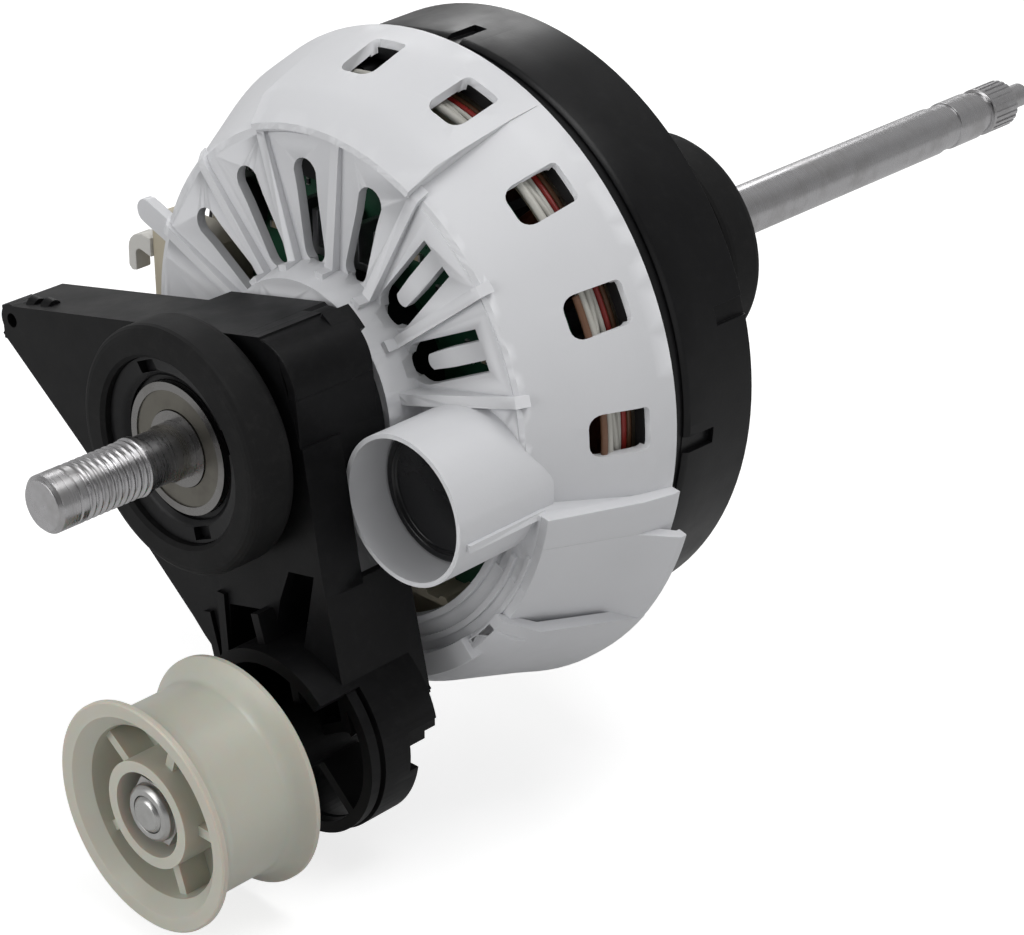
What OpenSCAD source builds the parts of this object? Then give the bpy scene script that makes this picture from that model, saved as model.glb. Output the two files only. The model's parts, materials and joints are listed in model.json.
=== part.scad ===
// Drive motor of a tumble dryer: an inner-rotor motor with its own circuit board under a white
// slotted cover, a grooved belt shaft at the front, a fan shaft at the rear, rubber rings that
// carry it in its cradle, and a swinging lever with the belt's idler roller.
// The shaft lies along +Y with the belt end at -Y, and +Z is up. The origin is on the shaft's
// axis at the front face of the front bearing.

/* [Shaft] */
// Diameter of the shaft
shaft_d = 12; // [11.4:0.1:12.6]
// Shaft in front of the front bearing
shaft_front = 33.7; // [32.5:0.1:50]
// Rear end of the shaft's thick part, from the front bearing's face
shaft_rear = 277.6; // [276.5:0.5:300]
// Chamfer at the belt end
shaft_chamfer = 0.85; // [0.3:0.05:1.2]
// Grooves of the ribbed belt seat
groove_count = 9; // [5:1:10]
// Pitch of the grooves
groove_pitch = 1.6; // [1.4:0.05:1.65]
// Depth of a groove
groove_depth = 0.65; // [0.3:0.05:0.9]
// Distance from the bearing's face to the last crest of the grooves
groove_start = 12.55; // [11.8:0.05:14]
// Radius of the collar behind the grooves
collar_r = 6.2; // [6.05:0.05:6.5]
// Width of the collar
collar_w = 1.1; // [0.6:0.1:1.6]
// Radius of the neck between the collar and the bearing
neck_r = 5.6; // [5:0.1:5.8]
// Length of the reduced stretch near the rear end
step_len = 5.5; // [3:0.5:8]
// Place of the reduced stretch, before the shaft's rear end
step_back = 30; // [24:0.5:40]
// Depth by which the reduced stretch lies under the shaft
step_depth = 0.35; // [0.2:0.05:0.6]
// Width of the ring groove before the knurled seat
clip_w = 3.9; // [2:0.1:5]
// Depth of the ring groove
clip_depth = 0.7; // [0.4:0.05:1]
// Length of the knurled seat of the fan
knurl_len = 10.4; // [7:0.1:14]
// Ribs of the knurled seat
knurl_count = 24; // [16:1:32]
// Depth of the knurling
knurl_depth = 0.35; // [0.2:0.05:0.5]
// Diameter of the end pin
pin_d = 6; // [4:0.1:8]
// Length of the end pin
pin_len = 8.9; // [5:0.1:12]

/* [Bearings] */
// Outer diameter of both bearings
bearing_d = 28; // [27.5:0.1:28.5]
// Width of both bearings
bearing_w = 8; // [7.4:0.1:8.6]
// Outer diameter of the inner ring's shoulder
inner_d = 16.1; // [15.7:0.1:16.4]
// Inner diameter of the outer ring's shoulder
outer_land_d = 24.6; // [24.2:0.1:24.9]
// Diameter of a ball
ball_d = 4.76; // [4.5:0.02:5]
// Balls in each bearing
ball_count = 8; // [7:1:9]
// Gap between a ball and its raceways
ball_play = 0.04; // [0.02:0.01:0.08]
// Thickness of a bearing shield
shield_t = 0.4; // [0.3:0.05:0.6]
// Front face of the rear bearing
rear_bearing_y = 139.5; // [138:0.5:141]

/* [Rubber rings] */
// Diameter of both rubber rings
ring_d = 52.6; // [50:0.2:55]
// Width of both rubber rings
ring_w = 11.1; // [9.5:0.1:12]
// Diameter of the recess in each rubber ring's outer face
ring_recess_d = 39.4; // [39:0.1:40.5]
// Rounding of the rubber rings' edges
ring_round = 2.2; // [1:0.1:3]
// How far the front ring stands in front of the bearing's face
ring_proud = 2.8; // [2:0.1:3.6]
// Rear end of the rear ring
rear_ring_end = 149.9; // [149.5:0.1:152]
// Outer diameter of the necks under the rings and the lever
neck_d = 39; // [38:0.2:39.2]
// Bayonet lugs on each ring holder
bayonet_count = 4; // [3:1:5]

/* [Front cover] */
// Outer face of the slotted floor
floor_y = 42.1; // [41:0.1:43]
// Wall thickness of the cover
cover_t = 2.2; // [1.6:0.1:2.8]
// Radius of the floor's outer crease
crease_r = 55.5; // [54:0.1:57]
// Place of the second crease along the shaft
knee_y = 63.5; // [62:0.1:65]
// Radius at the second crease
knee_r = 66.7; // [66:0.1:67.6]
// Rear rim of the cover
rim_y = 71.5; // [70:0.1:73]
// Outer radius at the rear rim
rim_r = 68.7; // [68.4:0.1:69.6]
// Spacing of the slots and ribs
slot_step = 24; // [22:0.5:25]
// Angle of the first slot
slot_first = 26; // [24:0.5:28]
// Slots in the floor, the two nearest the capacitor with tongues
slot_count = 6; // [3:1:6]
// Inner end of the slots
slot_r1 = 26; // [25:0.1:30]
// Outer end of the slots
slot_r2 = 48.5; // [44:0.1:50]
// Width of a slot as an angle
slot_w = 8; // [5:0.5:10]
// Width of a slot that has a tongue, as an angle
tongue_slot_w = 10.6; // [9:0.2:12]
// Width of a tongue as an angle
tongue_w = 6; // [4:0.2:7]
// Inner end of a tongue
tongue_r = 30.5; // [29:0.1:36]
// Thickness of the floor's ribs
rib_t = 2.4; // [1.5:0.1:3.5]
// Height of the ribs at the collar
rib_h = 4.6; // [2:0.1:6]
// Height of the collar round the neck
collar_h = 7.6; // [4:0.1:8.5]
// Spacing of the side windows
window_step = 22.5; // [20:0.5:24]
// Angle of the first side window
window_first = 3.8; // [3:0.2:5]
// Side windows in the shoulder
window_count = 5; // [3:1:5]
// Width of a side window as an angle
window_w = 7.8; // [5:0.2:9]
// Front end of the windows along the shaft
window_y1 = 53.2; // [52:0.1:56]
// Rear end of the windows along the shaft
window_y2 = 65.4; // [62:0.1:66]
// Start of the raised sector of the shoulder
raised_from = 63; // [60:0.5:66]
// End of the raised sector
raised_to = 111; // [106:0.5:116]
// Radius of the skirt's rear rim under the capacitor
skirt_r = 74.9; // [73:0.1:77]
// Radius of the skirt's front edge
skirt_front_r = 62.2; // [60:0.1:64]
// Upper end of the skirt as an angle
skirt_from = -9; // [-12:0.5:-8]
// Lower end of the skirt as an angle
skirt_to = -77; // [-82:0.5:-72]

/* [Capacitor tube] */
// Distance of the tube's axis from the shaft
tube_pos = 42.5; // [41.5:0.1:43]
// Angle of the tube's axis round the shaft
tube_angle = -8.9; // [-10.5:0.2:-8]
// Outer diameter of the tube
tube_d = 31.9; // [31.5:0.1:32.5]
// Wall of the tube
tube_t = 1.0; // [0.8:0.05:1.2]
// Front end of the tube
tube_y = 21; // [20.5:0.5:28]
// Diameter of the capacitor
cap_d = 29.4; // [28:0.1:29.5]
// Length of the capacitor
cap_len = 24.4; // [20:0.1:28]

/* [Rear housing] */
// Front edge of the housing's outer ring
house_y = 77.8; // [76:0.1:79]
// Rear edge of the housing's outer ring
house_rear = 96.8; // [96:0.2:100]
// Radius of the ring at its front edge
house_r1 = 66.9; // [66.5:0.1:68]
// Radius of the ring at its rear edge
house_r2 = 67.5; // [67.2:0.1:69]
// Radius of the spigot that the cover slides over
spigot_r = 65.6; // [65.2:0.1:65.8]
// Front end of the spigot
spigot_y = 65.2; // [64.5:0.1:67]
// Wall of the housing
house_t = 2.4; // [2:0.1:2.6]
// Inside face of the housing's back wall, at the neck
back_y = 108; // [107:0.5:112]
// Air slots in the back wall
back_slots = 18; // [12:1:20]

/* [Stator and rotor] */
// Front end of the lamination stack
stack_y = 70; // [70:0.5:71]
// Length of the lamination stack
stack_len = 18; // [14:0.5:19]
// Radius of the long screws through the stator
screw_r = 1.4; // [1.2:0.05:1.8]
// Teeth of the stator
teeth = 9; // [6:3:12]
// Width of a tooth
tooth_w = 9; // [7:0.5:10]
// Thickness of the stator's yoke
yoke_t = 6; // [5:0.5:7]
// Radius of the rotor's magnets
rotor_r = 33; // [31:0.5:35]
// Gap between the rotor and the stator's teeth
air_gap = 0.6; // [0.4:0.1:1]
// Thickness of a magnet
magnet_t = 3.5; // [2.5:0.5:5]
// Magnets on the rotor
magnets = 8; // [6:2:10]
// Thickness of the coils over the teeth
coil_t = 5; // [3:0.5:5.5]
// Length of the insulators over the stack's ends
insulator_h = 9; // [7:0.5:9]

/* [Circuit board] */
// Front face of the board
board_y = 55; // [54.8:0.1:56]
// Thickness of the board
board_t = 1.6; // [1.2:0.1:2]
// Radius of the board
board_r = 58.6; // [57:0.1:59]

/* [Lever] */
// Front face of the lever's plate
lever_y = 9.6; // [9.4:0.1:11]
// Thickness of the lever's walls
lever_t = 2.4; // [1.8:0.1:3]
// Rear end of the lever's hub
hub_rear = 32; // [30:0.2:33]
// Diameter of the lever's hub
hub_d = 52.6; // [50:0.2:55]
// Depth of the lever's top wall
top_wall = 16.4; // [12:0.2:18]
// Diameter of the spring's hole
spring_hole_d = 3.2; // [2.5:0.1:3.4]
// Radial gap between the lever and the neck
lever_play = 0.06; // [0.02:0.01:0.1]
// Distance of the roller's axis from the shaft's
roller_pos = 65.2; // [64:0.1:68]
// Angle of the roller's axis round the shaft
roller_angle = -70; // [-71:0.2:-69]
// Diameter of the boss behind the roller
boss_d = 44; // [42:0.2:46]
// Front face of the boss's upper half
boss_y = 2.5; // [1.5:0.1:4]

/* [Roller] */
// Diameter over the roller's flanges
flange_d = 49; // [46:0.2:52]
// Diameter of the roller's drum
drum_d = 41.4; // [38:0.2:43]
// Width of the roller
roller_w = 25.5; // [24:0.1:28]
// Front face of the roller
roller_y = -32.5; // [-33:0.1:-32]
// Thickness of the drum's wall
drum_t = 2.2; // [1.6:0.1:3]
// Outer diameter of the roller's hub
roller_hub_d = 23; // [22:0.2:26]
// Spokes between the roller's hub and drum
spokes = 5; // [4:1:6]
// Diameter of the roller's bolt
bolt_d = 8; // [7:0.1:8.4]
// Outer diameter of the sleeve on the bolt
sleeve_d = 12; // [11:0.1:13]
// Radial gap between the sleeve and the roller
roller_play = 0.06; // [0.02:0.01:0.1]
// Width of the nut across its flats
nut_af = 13; // [12.6:0.1:13.4]

/* [Hidden] */
$fn = 96;
eps = 0.01;
// Clearance between pieces of one body that are only set together
fit = 0.1;
shaft_r = shaft_d / 2;
bearing_r = bearing_d / 2;
race_r = (inner_d + outer_land_d) / 4;
ball_r = ball_d / 2;
// Half the angle of a raceway, where it meets the ring's shoulder
race_angle = acos((outer_land_d - inner_d) / 4 / (ball_r + ball_play));
ring_r = ring_d / 2;
neck_ro = neck_d / 2;
front_ring_y = -ring_proud;
rear_ring_y = rear_ring_end - ring_w;
groove_end = groove_start + groove_count * groove_pitch;
floor_in = floor_y + cover_t;
tube_r = tube_d / 2;
tube_x = tube_pos * cos(tube_angle);
tube_z = tube_pos * sin(tube_angle);
roller_x = roller_pos * cos(roller_angle);
roller_z = roller_pos * sin(roller_angle);
core_r = spigot_r - house_t - fit;
screw_pos = core_r - yoke_t / 2;
screw_angles = [-20, 100, 220];
key_angles = [88.5, -3.5, 180, 270];
post_r = screw_r + 1.1;
screw_head_r = screw_r + 0.6;
screw_head_h = 1.4;
bore_r = rotor_r + air_gap;
rotor_y1 = stack_y - 1;
rotor_y2 = stack_y + stack_len + 1;
white = [0.90, 0.90, 0.91];
black = [0.09, 0.09, 0.10];
rubber = [0.06, 0.06, 0.065];
steel = [0.72, 0.72, 0.74];
beige = [0.83, 0.79, 0.68];
green = [0.08, 0.30, 0.17];
copper_red = [0.55, 0.06, 0.05];
natural = [0.86, 0.87, 0.80];

// Swaps y and z, so that a flat outline in x and y stands in x and z and grows along +Y
module stand(y = 0) translate([0, y, 0]) mirror([0, 1, -1]) children();
// Turns a piece drawn along +X to an angle round the shaft, from +X towards +Z
module at_angle(a) rotate([0, -a, 0]) children();
// Solid disc round the shaft's axis
module disc(r, y1, y2) stand(y1) cylinder(r = r, h = y2 - y1);
// Ring round the shaft's axis
module ring(r1, r2, y1, y2) stand(y1) difference() {
    cylinder(r = r2, h = y2 - y1);
    translate([0, 0, -eps]) cylinder(r = r1, h = y2 - y1 + 2 * eps);
}
// Turns an outline of [radius, y] points round the shaft's axis
module turned(points, from = 0, span = 360)
    stand() rotate([0, 0, from]) rotate_extrude(angle = span) polygon(points);
// Wedge of the plane between two angles and two radii
module wedge(from, to, r1, r2, y1, y2)
    turned([[r1, y1], [r2, y1], [r2, y2], [r1, y2]], from, to - from);
// Points of an arc
function arc(x, y, r, a1, a2, steps) =
    [for (i = [0:steps]) let (a = a1 + (a2 - a1) * i / steps) [x + r * cos(a), y + r * sin(a)]];

// The cover's shoulder, filled, from the floor's crease to the rim
module shoulder_block() turned([
    [crease_r - 3, floor_y], [crease_r - 0.6, floor_y + 0.5], [crease_r + 0.5, floor_y + 1.8],
    [knee_r - 0.8, knee_y - 1.6], [knee_r, knee_y], [rim_r, rim_y], [crease_r - 3, rim_y]
]);
// Space inside the shoulder, with a step that the housing's spigot enters
module shoulder_space() turned([
    [crease_r - 5, floor_in], [crease_r - 2.2, floor_in], [crease_r - 1.2, floor_in + 0.6],
    [knee_r - cover_t - 0.8, knee_y - 1], [knee_r - cover_t, spigot_y - fit], [spigot_r + fit, spigot_y - fit],
    [spigot_r + fit, rim_y + 1], [crease_r - 5, rim_y + 1]
]);

// A slot with a round outer end, seen along the shaft
module slot_outline(width) {
    half = width / 2;
    r_end = slot_r2 * sin(half);
    polygon(concat(
        [[slot_r1 * cos(half), -slot_r1 * sin(half)]],
        arc(slot_r2 - r_end, 0, r_end, -80, 80, 8),
        [[slot_r1 * cos(half), slot_r1 * sin(half)]],
        arc(slot_r1 + 0.4, 0, slot_r1 * sin(half), 110, 250, 4)
    ));
}
module tongue_outline() {
    r_end = tongue_r * sin(tongue_w / 2);
    polygon(concat(
        arc(tongue_r + r_end, 0, r_end, 270, 90, 8),
        [[slot_r2 + 1, slot_r2 * tan(tongue_w / 2)], [slot_r2 + 1, -slot_r2 * tan(tongue_w / 2)]]
    ));
}
module cover_slot(i) rotate([0, 0, slot_first + i * slot_step])
    if (i < 2) difference() {
        slot_outline(tongue_slot_w);
        tongue_outline();
    } else slot_outline(slot_w);

// A window in the shoulder: round at its front end, square at the rear
module cover_window(i) {
    a = window_first + i * window_step;
    half_w = knee_r * sin(window_w / 2);
    length = window_y2 - window_y1;
    corner = half_w * 0.6;
    rotate([0, -a, 0]) translate([crease_r - 6, 0, 0]) rotate([0, 90, 0]) linear_extrude(30)
        polygon(concat(
            arc(half_w - corner, window_y1 + corner * 1.2, corner, 0, -90, 5),
            arc(-half_w + corner, window_y1 + corner * 1.2, corner, 270, 180, 5),
            arc(-half_w + 1.2, window_y1 + length - 1.2, 1.2, 180, 90, 3),
            arc(half_w - 1.2, window_y1 + length - 1.2, 1.2, 90, 0, 3)
        ));
}

// Rib from the collar to the shoulder, tallest at the collar
module floor_rib(a) rotate([0, -a, 0]) translate([0, 0, -rib_t / 2]) linear_extrude(rib_t)
    polygon([
        [neck_ro + 4, floor_y + 0.5], [neck_ro + 6, floor_y - rib_h], [neck_ro + 9, floor_y - rib_h],
        [crease_r - 0.8, floor_y - 0.8], [crease_r + 1.2, floor_y + 1.4], [crease_r - 3, floor_y + 1]
    ]);

// Raised part of the shoulder over the board's tall parts, filled
module raised_block() turned([
    [crease_r - 1.5, floor_y - 2.1], [crease_r + 0.5, floor_y - 1.9], [crease_r + 5.5, floor_y + 3.4],
    [crease_r + 7.5, floor_y + 8.9], [knee_r + 0.4, knee_y], [rim_r - 0.1, rim_y - 1], [crease_r - 1.5, rim_y - 1]
], raised_from, raised_to - raised_from);
// Space inside the raised part, which leaves a wall at each end
module raised_space() turned([
    [crease_r - 1.5, floor_y + 0.6], [crease_r + 2.9, floor_y + 4.9], [crease_r + 4.9, floor_y + 9.5],
    [knee_r - cover_t, knee_y], [crease_r - 1.5, knee_y]
], raised_from + 2, raised_to - raised_from - 4);

// Skirt under the capacitor, in two steps round the shaft
module skirt() {
    t = cover_t;
    upper = [[skirt_front_r - t, floor_y - 0.2], [skirt_front_r, floor_y - 0.2], [skirt_front_r + 7, rim_y - 8],
        [skirt_front_r + 8.6, rim_y - 2], [skirt_front_r + 8.6, rim_y], [skirt_front_r + 8.6 - t, rim_y],
        [skirt_front_r + 6.8 - t, rim_y - 8]];
    lower = [[skirt_front_r - t, floor_y - 2], [skirt_front_r, floor_y - 2], [skirt_front_r + 5.5, floor_y + 4],
        [skirt_r - 2, rim_y - 8], [skirt_r, rim_y - 2], [skirt_r, rim_y], [skirt_r - t, rim_y],
        [skirt_r - 2 - t, rim_y - 7.4], [skirt_front_r + 5.5 - t, floor_y + 5]];
    turned(upper, skirt_from - 32, 32);
    turned(lower, skirt_to, skirt_from - 26 - skirt_to);
    // End walls between the skirt and the shoulder
    for (a = [skirt_from - 2, skirt_to])
        turned([[crease_r - 2, floor_y + 0.3], [skirt_front_r - 0.5, floor_y + 0.3],
            [skirt_front_r + 6.5, rim_y - 8], [skirt_front_r + 8.2, rim_y - 0.3], [rim_r - 1.2, rim_y - 0.3],
            [knee_r - 1.5, knee_y], [crease_r - 2, floor_y + 2]], a, 2);
    // Floor of the skirt round the opening under the tube
    wedge(skirt_to, skirt_from, crease_r - 1.5, skirt_front_r - 0.5, floor_y - 0.2, floor_y - 0.2 + t);
}

module front_cover() color(white) {
    difference() {
        union() {
            difference() {
                union() {
                    ring(neck_ro + 1.2, crease_r - 2, floor_y, floor_in);
                    shoulder_block();
                    raised_block();
                }
                shoulder_space();
                raised_space();
                stand(floor_y - 1) linear_extrude(cover_t + 3)
                    for (i = [0:slot_count - 1]) cover_slot(i);
                for (i = [0:window_count - 1]) cover_window(i);
                // Arched opening under the tube
                wedge(-75, -33, neck_ro + 12, 51.5, floor_y - 2, floor_in + 1);
                // Opening for the connector on the left
                wedge(150, 196, crease_r - 4.6, rim_r + 6, floor_in + 2, rim_y - 3);
            }
            for (i = [0:slot_count]) floor_rib(slot_first + (i - 0.5) * slot_step);
            turned([[neck_ro + 1.2, floor_y + 1], [neck_ro + 1.2, floor_y - collar_h],
                [neck_ro + 5.5, floor_y - collar_h], [neck_ro + 7.5, floor_y + 1]]);
            skirt();
            translate([tube_x, 0, tube_z]) disc(tube_r, tube_y, floor_in + 3);
            // Flat rib along the tube's lower side
            translate([tube_x + tube_r - 2.5, tube_y + 2, tube_z - 4])
                cube([3.2, floor_y - tube_y, 1.6]);
        }
        // The capacitor's chamber, round inside the tube
        translate([tube_x, 0, tube_z]) disc(tube_r - tube_t, tube_y - 1, floor_in + 9);
        // The neck and the board stay clear behind the floor
        disc(neck_ro + 1.2, floor_y - collar_h - 1, floor_in + 5);
    }
}

module rear_housing() color(black) {
    t = house_t;
    difference() {
        union() {
            turned([
                [spigot_r - t, spigot_y], [spigot_r, spigot_y], [spigot_r, house_y - 1.2],
                [house_r1 - 0.8, house_y - 1.2], [house_r1, house_y], [house_r2, house_rear - 0.6],
                [house_r2 - 0.6, house_rear], [house_r2 - 4, house_rear + 2.5], [ring_r + 6, back_y + t],
                [neck_ro + 3, back_y + t + 2], [neck_ro + 1.5, back_y + t + 6], [neck_ro, back_y + t + 12],
                [neck_ro, rear_ring_y + ring_w - 2], [bearing_r + fit, rear_ring_y + ring_w - 2],
                [bearing_r + fit, rear_bearing_y - 0.8], [bearing_r - 2.5, rear_bearing_y - 0.8],
                [bearing_r - 2.5, rear_bearing_y - 3], [neck_ro - t - 1, rear_bearing_y - 8],
                [neck_ro - t - 1, back_y + 4], [neck_ro + 1, back_y], [ring_r + 6, back_y],
                [house_r2 - 5, house_rear + 0.5], [spigot_r - t, house_rear - 1]
            ]);
            // Ribs behind the back wall, from the neck to the ring
            for (i = [0:5]) rotate([0, i * 60 + 30, 0]) translate([0, 0, -1.2]) linear_extrude(2.4)
                polygon([[neck_ro - 1, back_y + 3], [house_r2 - 7, house_rear + 2.2],
                    [house_r2 - 7, house_rear + 4], [neck_ro - 1, back_y + 19]]);
            // Posts that the stator's long screws enter, each webbed to the wall
            for (a = screw_angles) at_angle(a) {
                translate([screw_pos, 0, 0]) disc(post_r, stack_y + stack_len, house_rear + 2.2);
                translate([screw_pos, stack_y + stack_len, -1])
                    cube([core_r - screw_pos + 1, house_rear - stack_y - stack_len, 2]);
            }
        }
        // Air slots in the back wall
        for (i = [0:back_slots - 1]) rotate([0, (i + 0.5) * 360 / back_slots, 0])
            translate([36, house_rear - 2, -1.6]) cube([18, 24, 3.2]);
        // Key slots at the ring's front edge
        for (a = key_angles) at_angle(a)
            translate([spigot_r + 0.2, house_y - 2, -1.8]) cube([6, 9, 3.6]);
        // Pocket of the latch at the rear edge
        at_angle(17.5) translate([house_r2 - 1.6, house_rear - 9, -2]) cube([6, 12, 4]);
        for (a = screw_angles) at_angle(a) translate([screw_pos, 0, 0])
            disc(screw_r, stack_y + stack_len - 1, house_rear - 1);
    }
}

// Black front end shield: the neck that carries the front bearing, the lever and the front ring,
// and three arms that reach behind the board to the stator
arm_y = stack_y - insulator_h + 0.6;
arm_t = 3;
arm_w = 6;
module neck_carrier() color(black) {
    difference() {
        union() {
            turned([
                [bearing_r + fit, 1.6], [neck_ro - 3, 1.6], [neck_ro - 3, lever_y - 0.6],
                [neck_ro, lever_y - 0.6], [neck_ro, hub_rear + 0.3], [neck_ro + 0.9, hub_rear + 0.6],
                [neck_ro + 0.9, arm_y - 3], [neck_ro + 6, arm_y + 0.4], [neck_ro + 6, arm_y + arm_t + 0.4],
                [neck_ro - 2.4, arm_y + arm_t + 0.4], [neck_ro - 2.4, bearing_w + 6],
                [bearing_r - 2.5, bearing_w + 3], [bearing_r - 2.5, bearing_w + fit],
                [bearing_r + fit, bearing_w + fit]
            ]);
            for (a = screw_angles) at_angle(a) {
                translate([neck_ro + 4, arm_y, -arm_w / 2]) cube([screw_pos - neck_ro - 4, arm_t, arm_w]);
                translate([screw_pos, 0, 0]) disc(post_r, arm_y, stack_y - fit / 2);
            }
        }
        for (a = screw_angles) at_angle(a) translate([screw_pos, 0, 0]) {
            disc(screw_r + fit, arm_y - 1, stack_y + 1);
            disc(screw_head_r + fit, arm_y - 1, arm_y + screw_head_h + fit);
        }
    }
}

// Long screws through the arms and the stator into the housing's posts, with sunk heads
module carrier_screws() color(steel)
    for (a = screw_angles) at_angle(a) translate([screw_pos, 0, 0]) {
        disc(screw_r - fit / 2, arm_y + fit, stack_y + stack_len + 5);
        disc(screw_head_r, arm_y + fit, arm_y + screw_head_h);
    }

// Bayonet ring that holds a rubber ring and the lever on the neck
module ring_holder(front) {
    y1 = front ? front_ring_y + 2 : -1;
    difference() {
        turned([
            [bearing_r + 1.2, y1 + 1.6], [ring_recess_d / 2 - 3, y1 + 0.4], [ring_recess_d / 2 - 0.2, y1],
            [ring_recess_d / 2 - 0.2, front_ring_y + ring_w + 0.4], [neck_ro - 3 + fit, front_ring_y + ring_w + 0.4],
            [neck_ro - 3 + fit, 1.4], [bearing_r + 1.2, 1.4]
        ]);
        for (i = [0:bayonet_count - 1]) rotate([0, -i * 360 / bayonet_count - 24, 0])
            translate([bearing_r + 2.2, y1 - 1, -2.6]) cube([2.6, 3, 5.2]);
    }
}
module front_ring_holder() color(black) ring_holder(true);
module rear_ring_holder() color(black)
    turned([
        [bearing_r + 1.2, rear_ring_end - 1.9], [neck_ro - 0.4, rear_ring_end - 1.9],
        [ring_recess_d / 2 - 0.1, rear_ring_end - 1.2], [ring_recess_d / 2 - 0.1, rear_ring_end - 0.4],
        [ring_recess_d / 2 - 2, rear_ring_end], [bearing_r + 2.6, rear_ring_end]
    ]);

// Rubber ring with rounded edges
module rubber_ring(r_in) {
    c = ring_round;
    h = ring_w;
    turned(concat(
        [[r_in, 0.8], [r_in + 0.8, 0]],
        arc(ring_r - c, c, c, -90, 0, 4),
        arc(ring_r - c, h - c, c, 0, 90, 4),
        [[r_in, h]]
    ));
}
module front_rubber_ring() color(rubber)
    translate([0, front_ring_y, 0]) rubber_ring(ring_recess_d / 2);
module rear_rubber_ring() color(rubber)
    translate([0, rear_ring_end, 0]) mirror([0, 1, 0]) rubber_ring(neck_ro + 0.2);

// Outline of one lamination
module lamination() {
    difference() {
        circle(core_r);
        circle(core_r - yoke_t);
        for (a = screw_angles) rotate(a) translate([screw_pos, 0]) circle(screw_r + fit);
    }
    intersection() {
        difference() {
            circle(core_r - yoke_t + 1);
            circle(bore_r);
        }
        for (i = [0:teeth - 1]) rotate(i * 360 / teeth) {
            translate([bore_r - 5, -tooth_w / 2]) square([core_r - bore_r, tooth_w]);
            polygon(concat(arc(0, 0, bore_r - 1, -15, 15, 6), arc(0, 0, bore_r + 3, 12, -12, 4)));
        }
    }
}
module stator_core() color(steel) stand(stack_y) linear_extrude(stack_len) lamination();

// Bobbin end: a ring of tooth covers with an outer fence that guides the wires
// Thickness of the tooth covers and how far they stand out beside a tooth
cover_h = 1.5;
cover_side = 0.6;
module insulator_body() {
    fence_r = core_r - 3;
    ring(fence_r - 2, fence_r, 0, insulator_h);
    ring(fence_r - 4, fence_r, 0, cover_h);
    for (i = [0:teeth - 1]) rotate([0, i * 360 / teeth, 0]) {
        translate([bore_r + 1, 0, -tooth_w / 2 - cover_side])
            cube([fence_r - bore_r - 2, cover_h, tooth_w + 2 * cover_side]);
        translate([bore_r + 1, 0, -tooth_w / 2 - 1.5]) cube([1.6, insulator_h - 2, tooth_w + 3]);
    }
}
module front_insulator() color(beige) translate([0, stack_y, 0]) mirror([0, 1, 0]) difference() {
    insulator_body();
    // Notches in the fence that the wires cross, and room for the carrier's arms and posts
    for (i = [0:teeth - 1]) at_angle((i + 0.5) * 360 / teeth)
        translate([core_r - 6, insulator_h - 3, -2.5]) cube([4, 4, 5]);
    for (a = screw_angles) at_angle(a) {
        translate([screw_pos, 0, 0]) disc(post_r + fit, -1, insulator_h + 1);
        translate([core_r - 6, stack_y - arm_y - arm_t - fit, -arm_w / 2 - fit])
            cube([4, insulator_h, arm_w + 2 * fit]);
    }
}
module rear_insulator() color(beige) translate([0, stack_y + stack_len, 0]) difference() {
    insulator_body();
    for (a = screw_angles) at_angle(a) translate([screw_pos, 0, 0]) disc(post_r + fit, -1, insulator_h + 1);
}

// Coil round one tooth: a rounded racetrack with the tooth and its covers inside
module coil() {
    gap = 0.3;
    in_w = tooth_w / 2 + cover_side + gap;
    in_h = stack_len / 2 + cover_h + gap;
    x1 = bore_r + 3;
    x2 = core_r - yoke_t - 2.4;
    module track(w, h, c) polygon(concat(
        arc(w - c, h - c, c, 0, 90, 3), arc(-w + c, h - c, c, 90, 180, 3),
        arc(-w + c, -h + c, c, 180, 270, 3), arc(w - c, -h + c, c, 270, 360, 3)));
    translate([x1, stack_y + stack_len / 2, 0]) rotate([90, 0, 90]) linear_extrude(x2 - x1)
        difference() {
            rotate(90) track(in_w + coil_t * 0.9, in_h + coil_t, 3);
            rotate(90) track(in_w, in_h, 0.8);
        }
}
module windings() color(copper_red)
    for (i = [0:teeth - 1]) rotate([0, i * 360 / teeth, 0]) coil();

// Phase leads that run round the front insulator's fence
lead_d = 1.4;
module phase_wires() color(copper_red)
    for (a = screw_angles, i = [0:2])
        turned(arc(core_r - 3 + lead_d / 2 + fit, stack_y - 4.2 - i * 1.6, lead_d / 2, 0, 330, 11), a + 9, 102);

// Green board with its centre open for the carrier
module board_outline() difference() {
    circle(board_r);
    circle(neck_ro + 0.9 + fit);
    // Clear way behind the connector's opening
    polygon([[-board_r - 1, -18], [-board_r + 15, -16], [-board_r + 19, 4], [-board_r + 12, 22], [-board_r - 1, 26]]);
}
module circuit_board() color(green) stand(board_y) linear_extrude(board_t) board_outline();
// Row of small packages on the board's front face
module board_chips() color([0.12, 0.12, 0.13])
    for (p = [[-6, 44, 9, 7, 2], [8, 46, 7, 7, 2], [-20, 38, 6, 9, 2.4], [24, 36, 10, 6, 3],
            [-30, 28, 6, 5, 2], [34, 24, 6, 8, 2.4], [-14, -40, 8, 8, 2], [4, -46, 12, 7, 3], [-34, -30, 8, 6, 2]])
        translate([p[0], board_y - p[4], p[1]]) cube([p[2], p[4], p[3]]);
module heat_sink() color([0.66, 0.67, 0.69]) {
    translate([-16, board_y - 8, 25]) cube([26, 8, 1.8]);
    for (i = [0:4]) translate([-16 + i * 6, board_y - 8, 26.7]) cube([1.6, 7, 8]);
}
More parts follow.
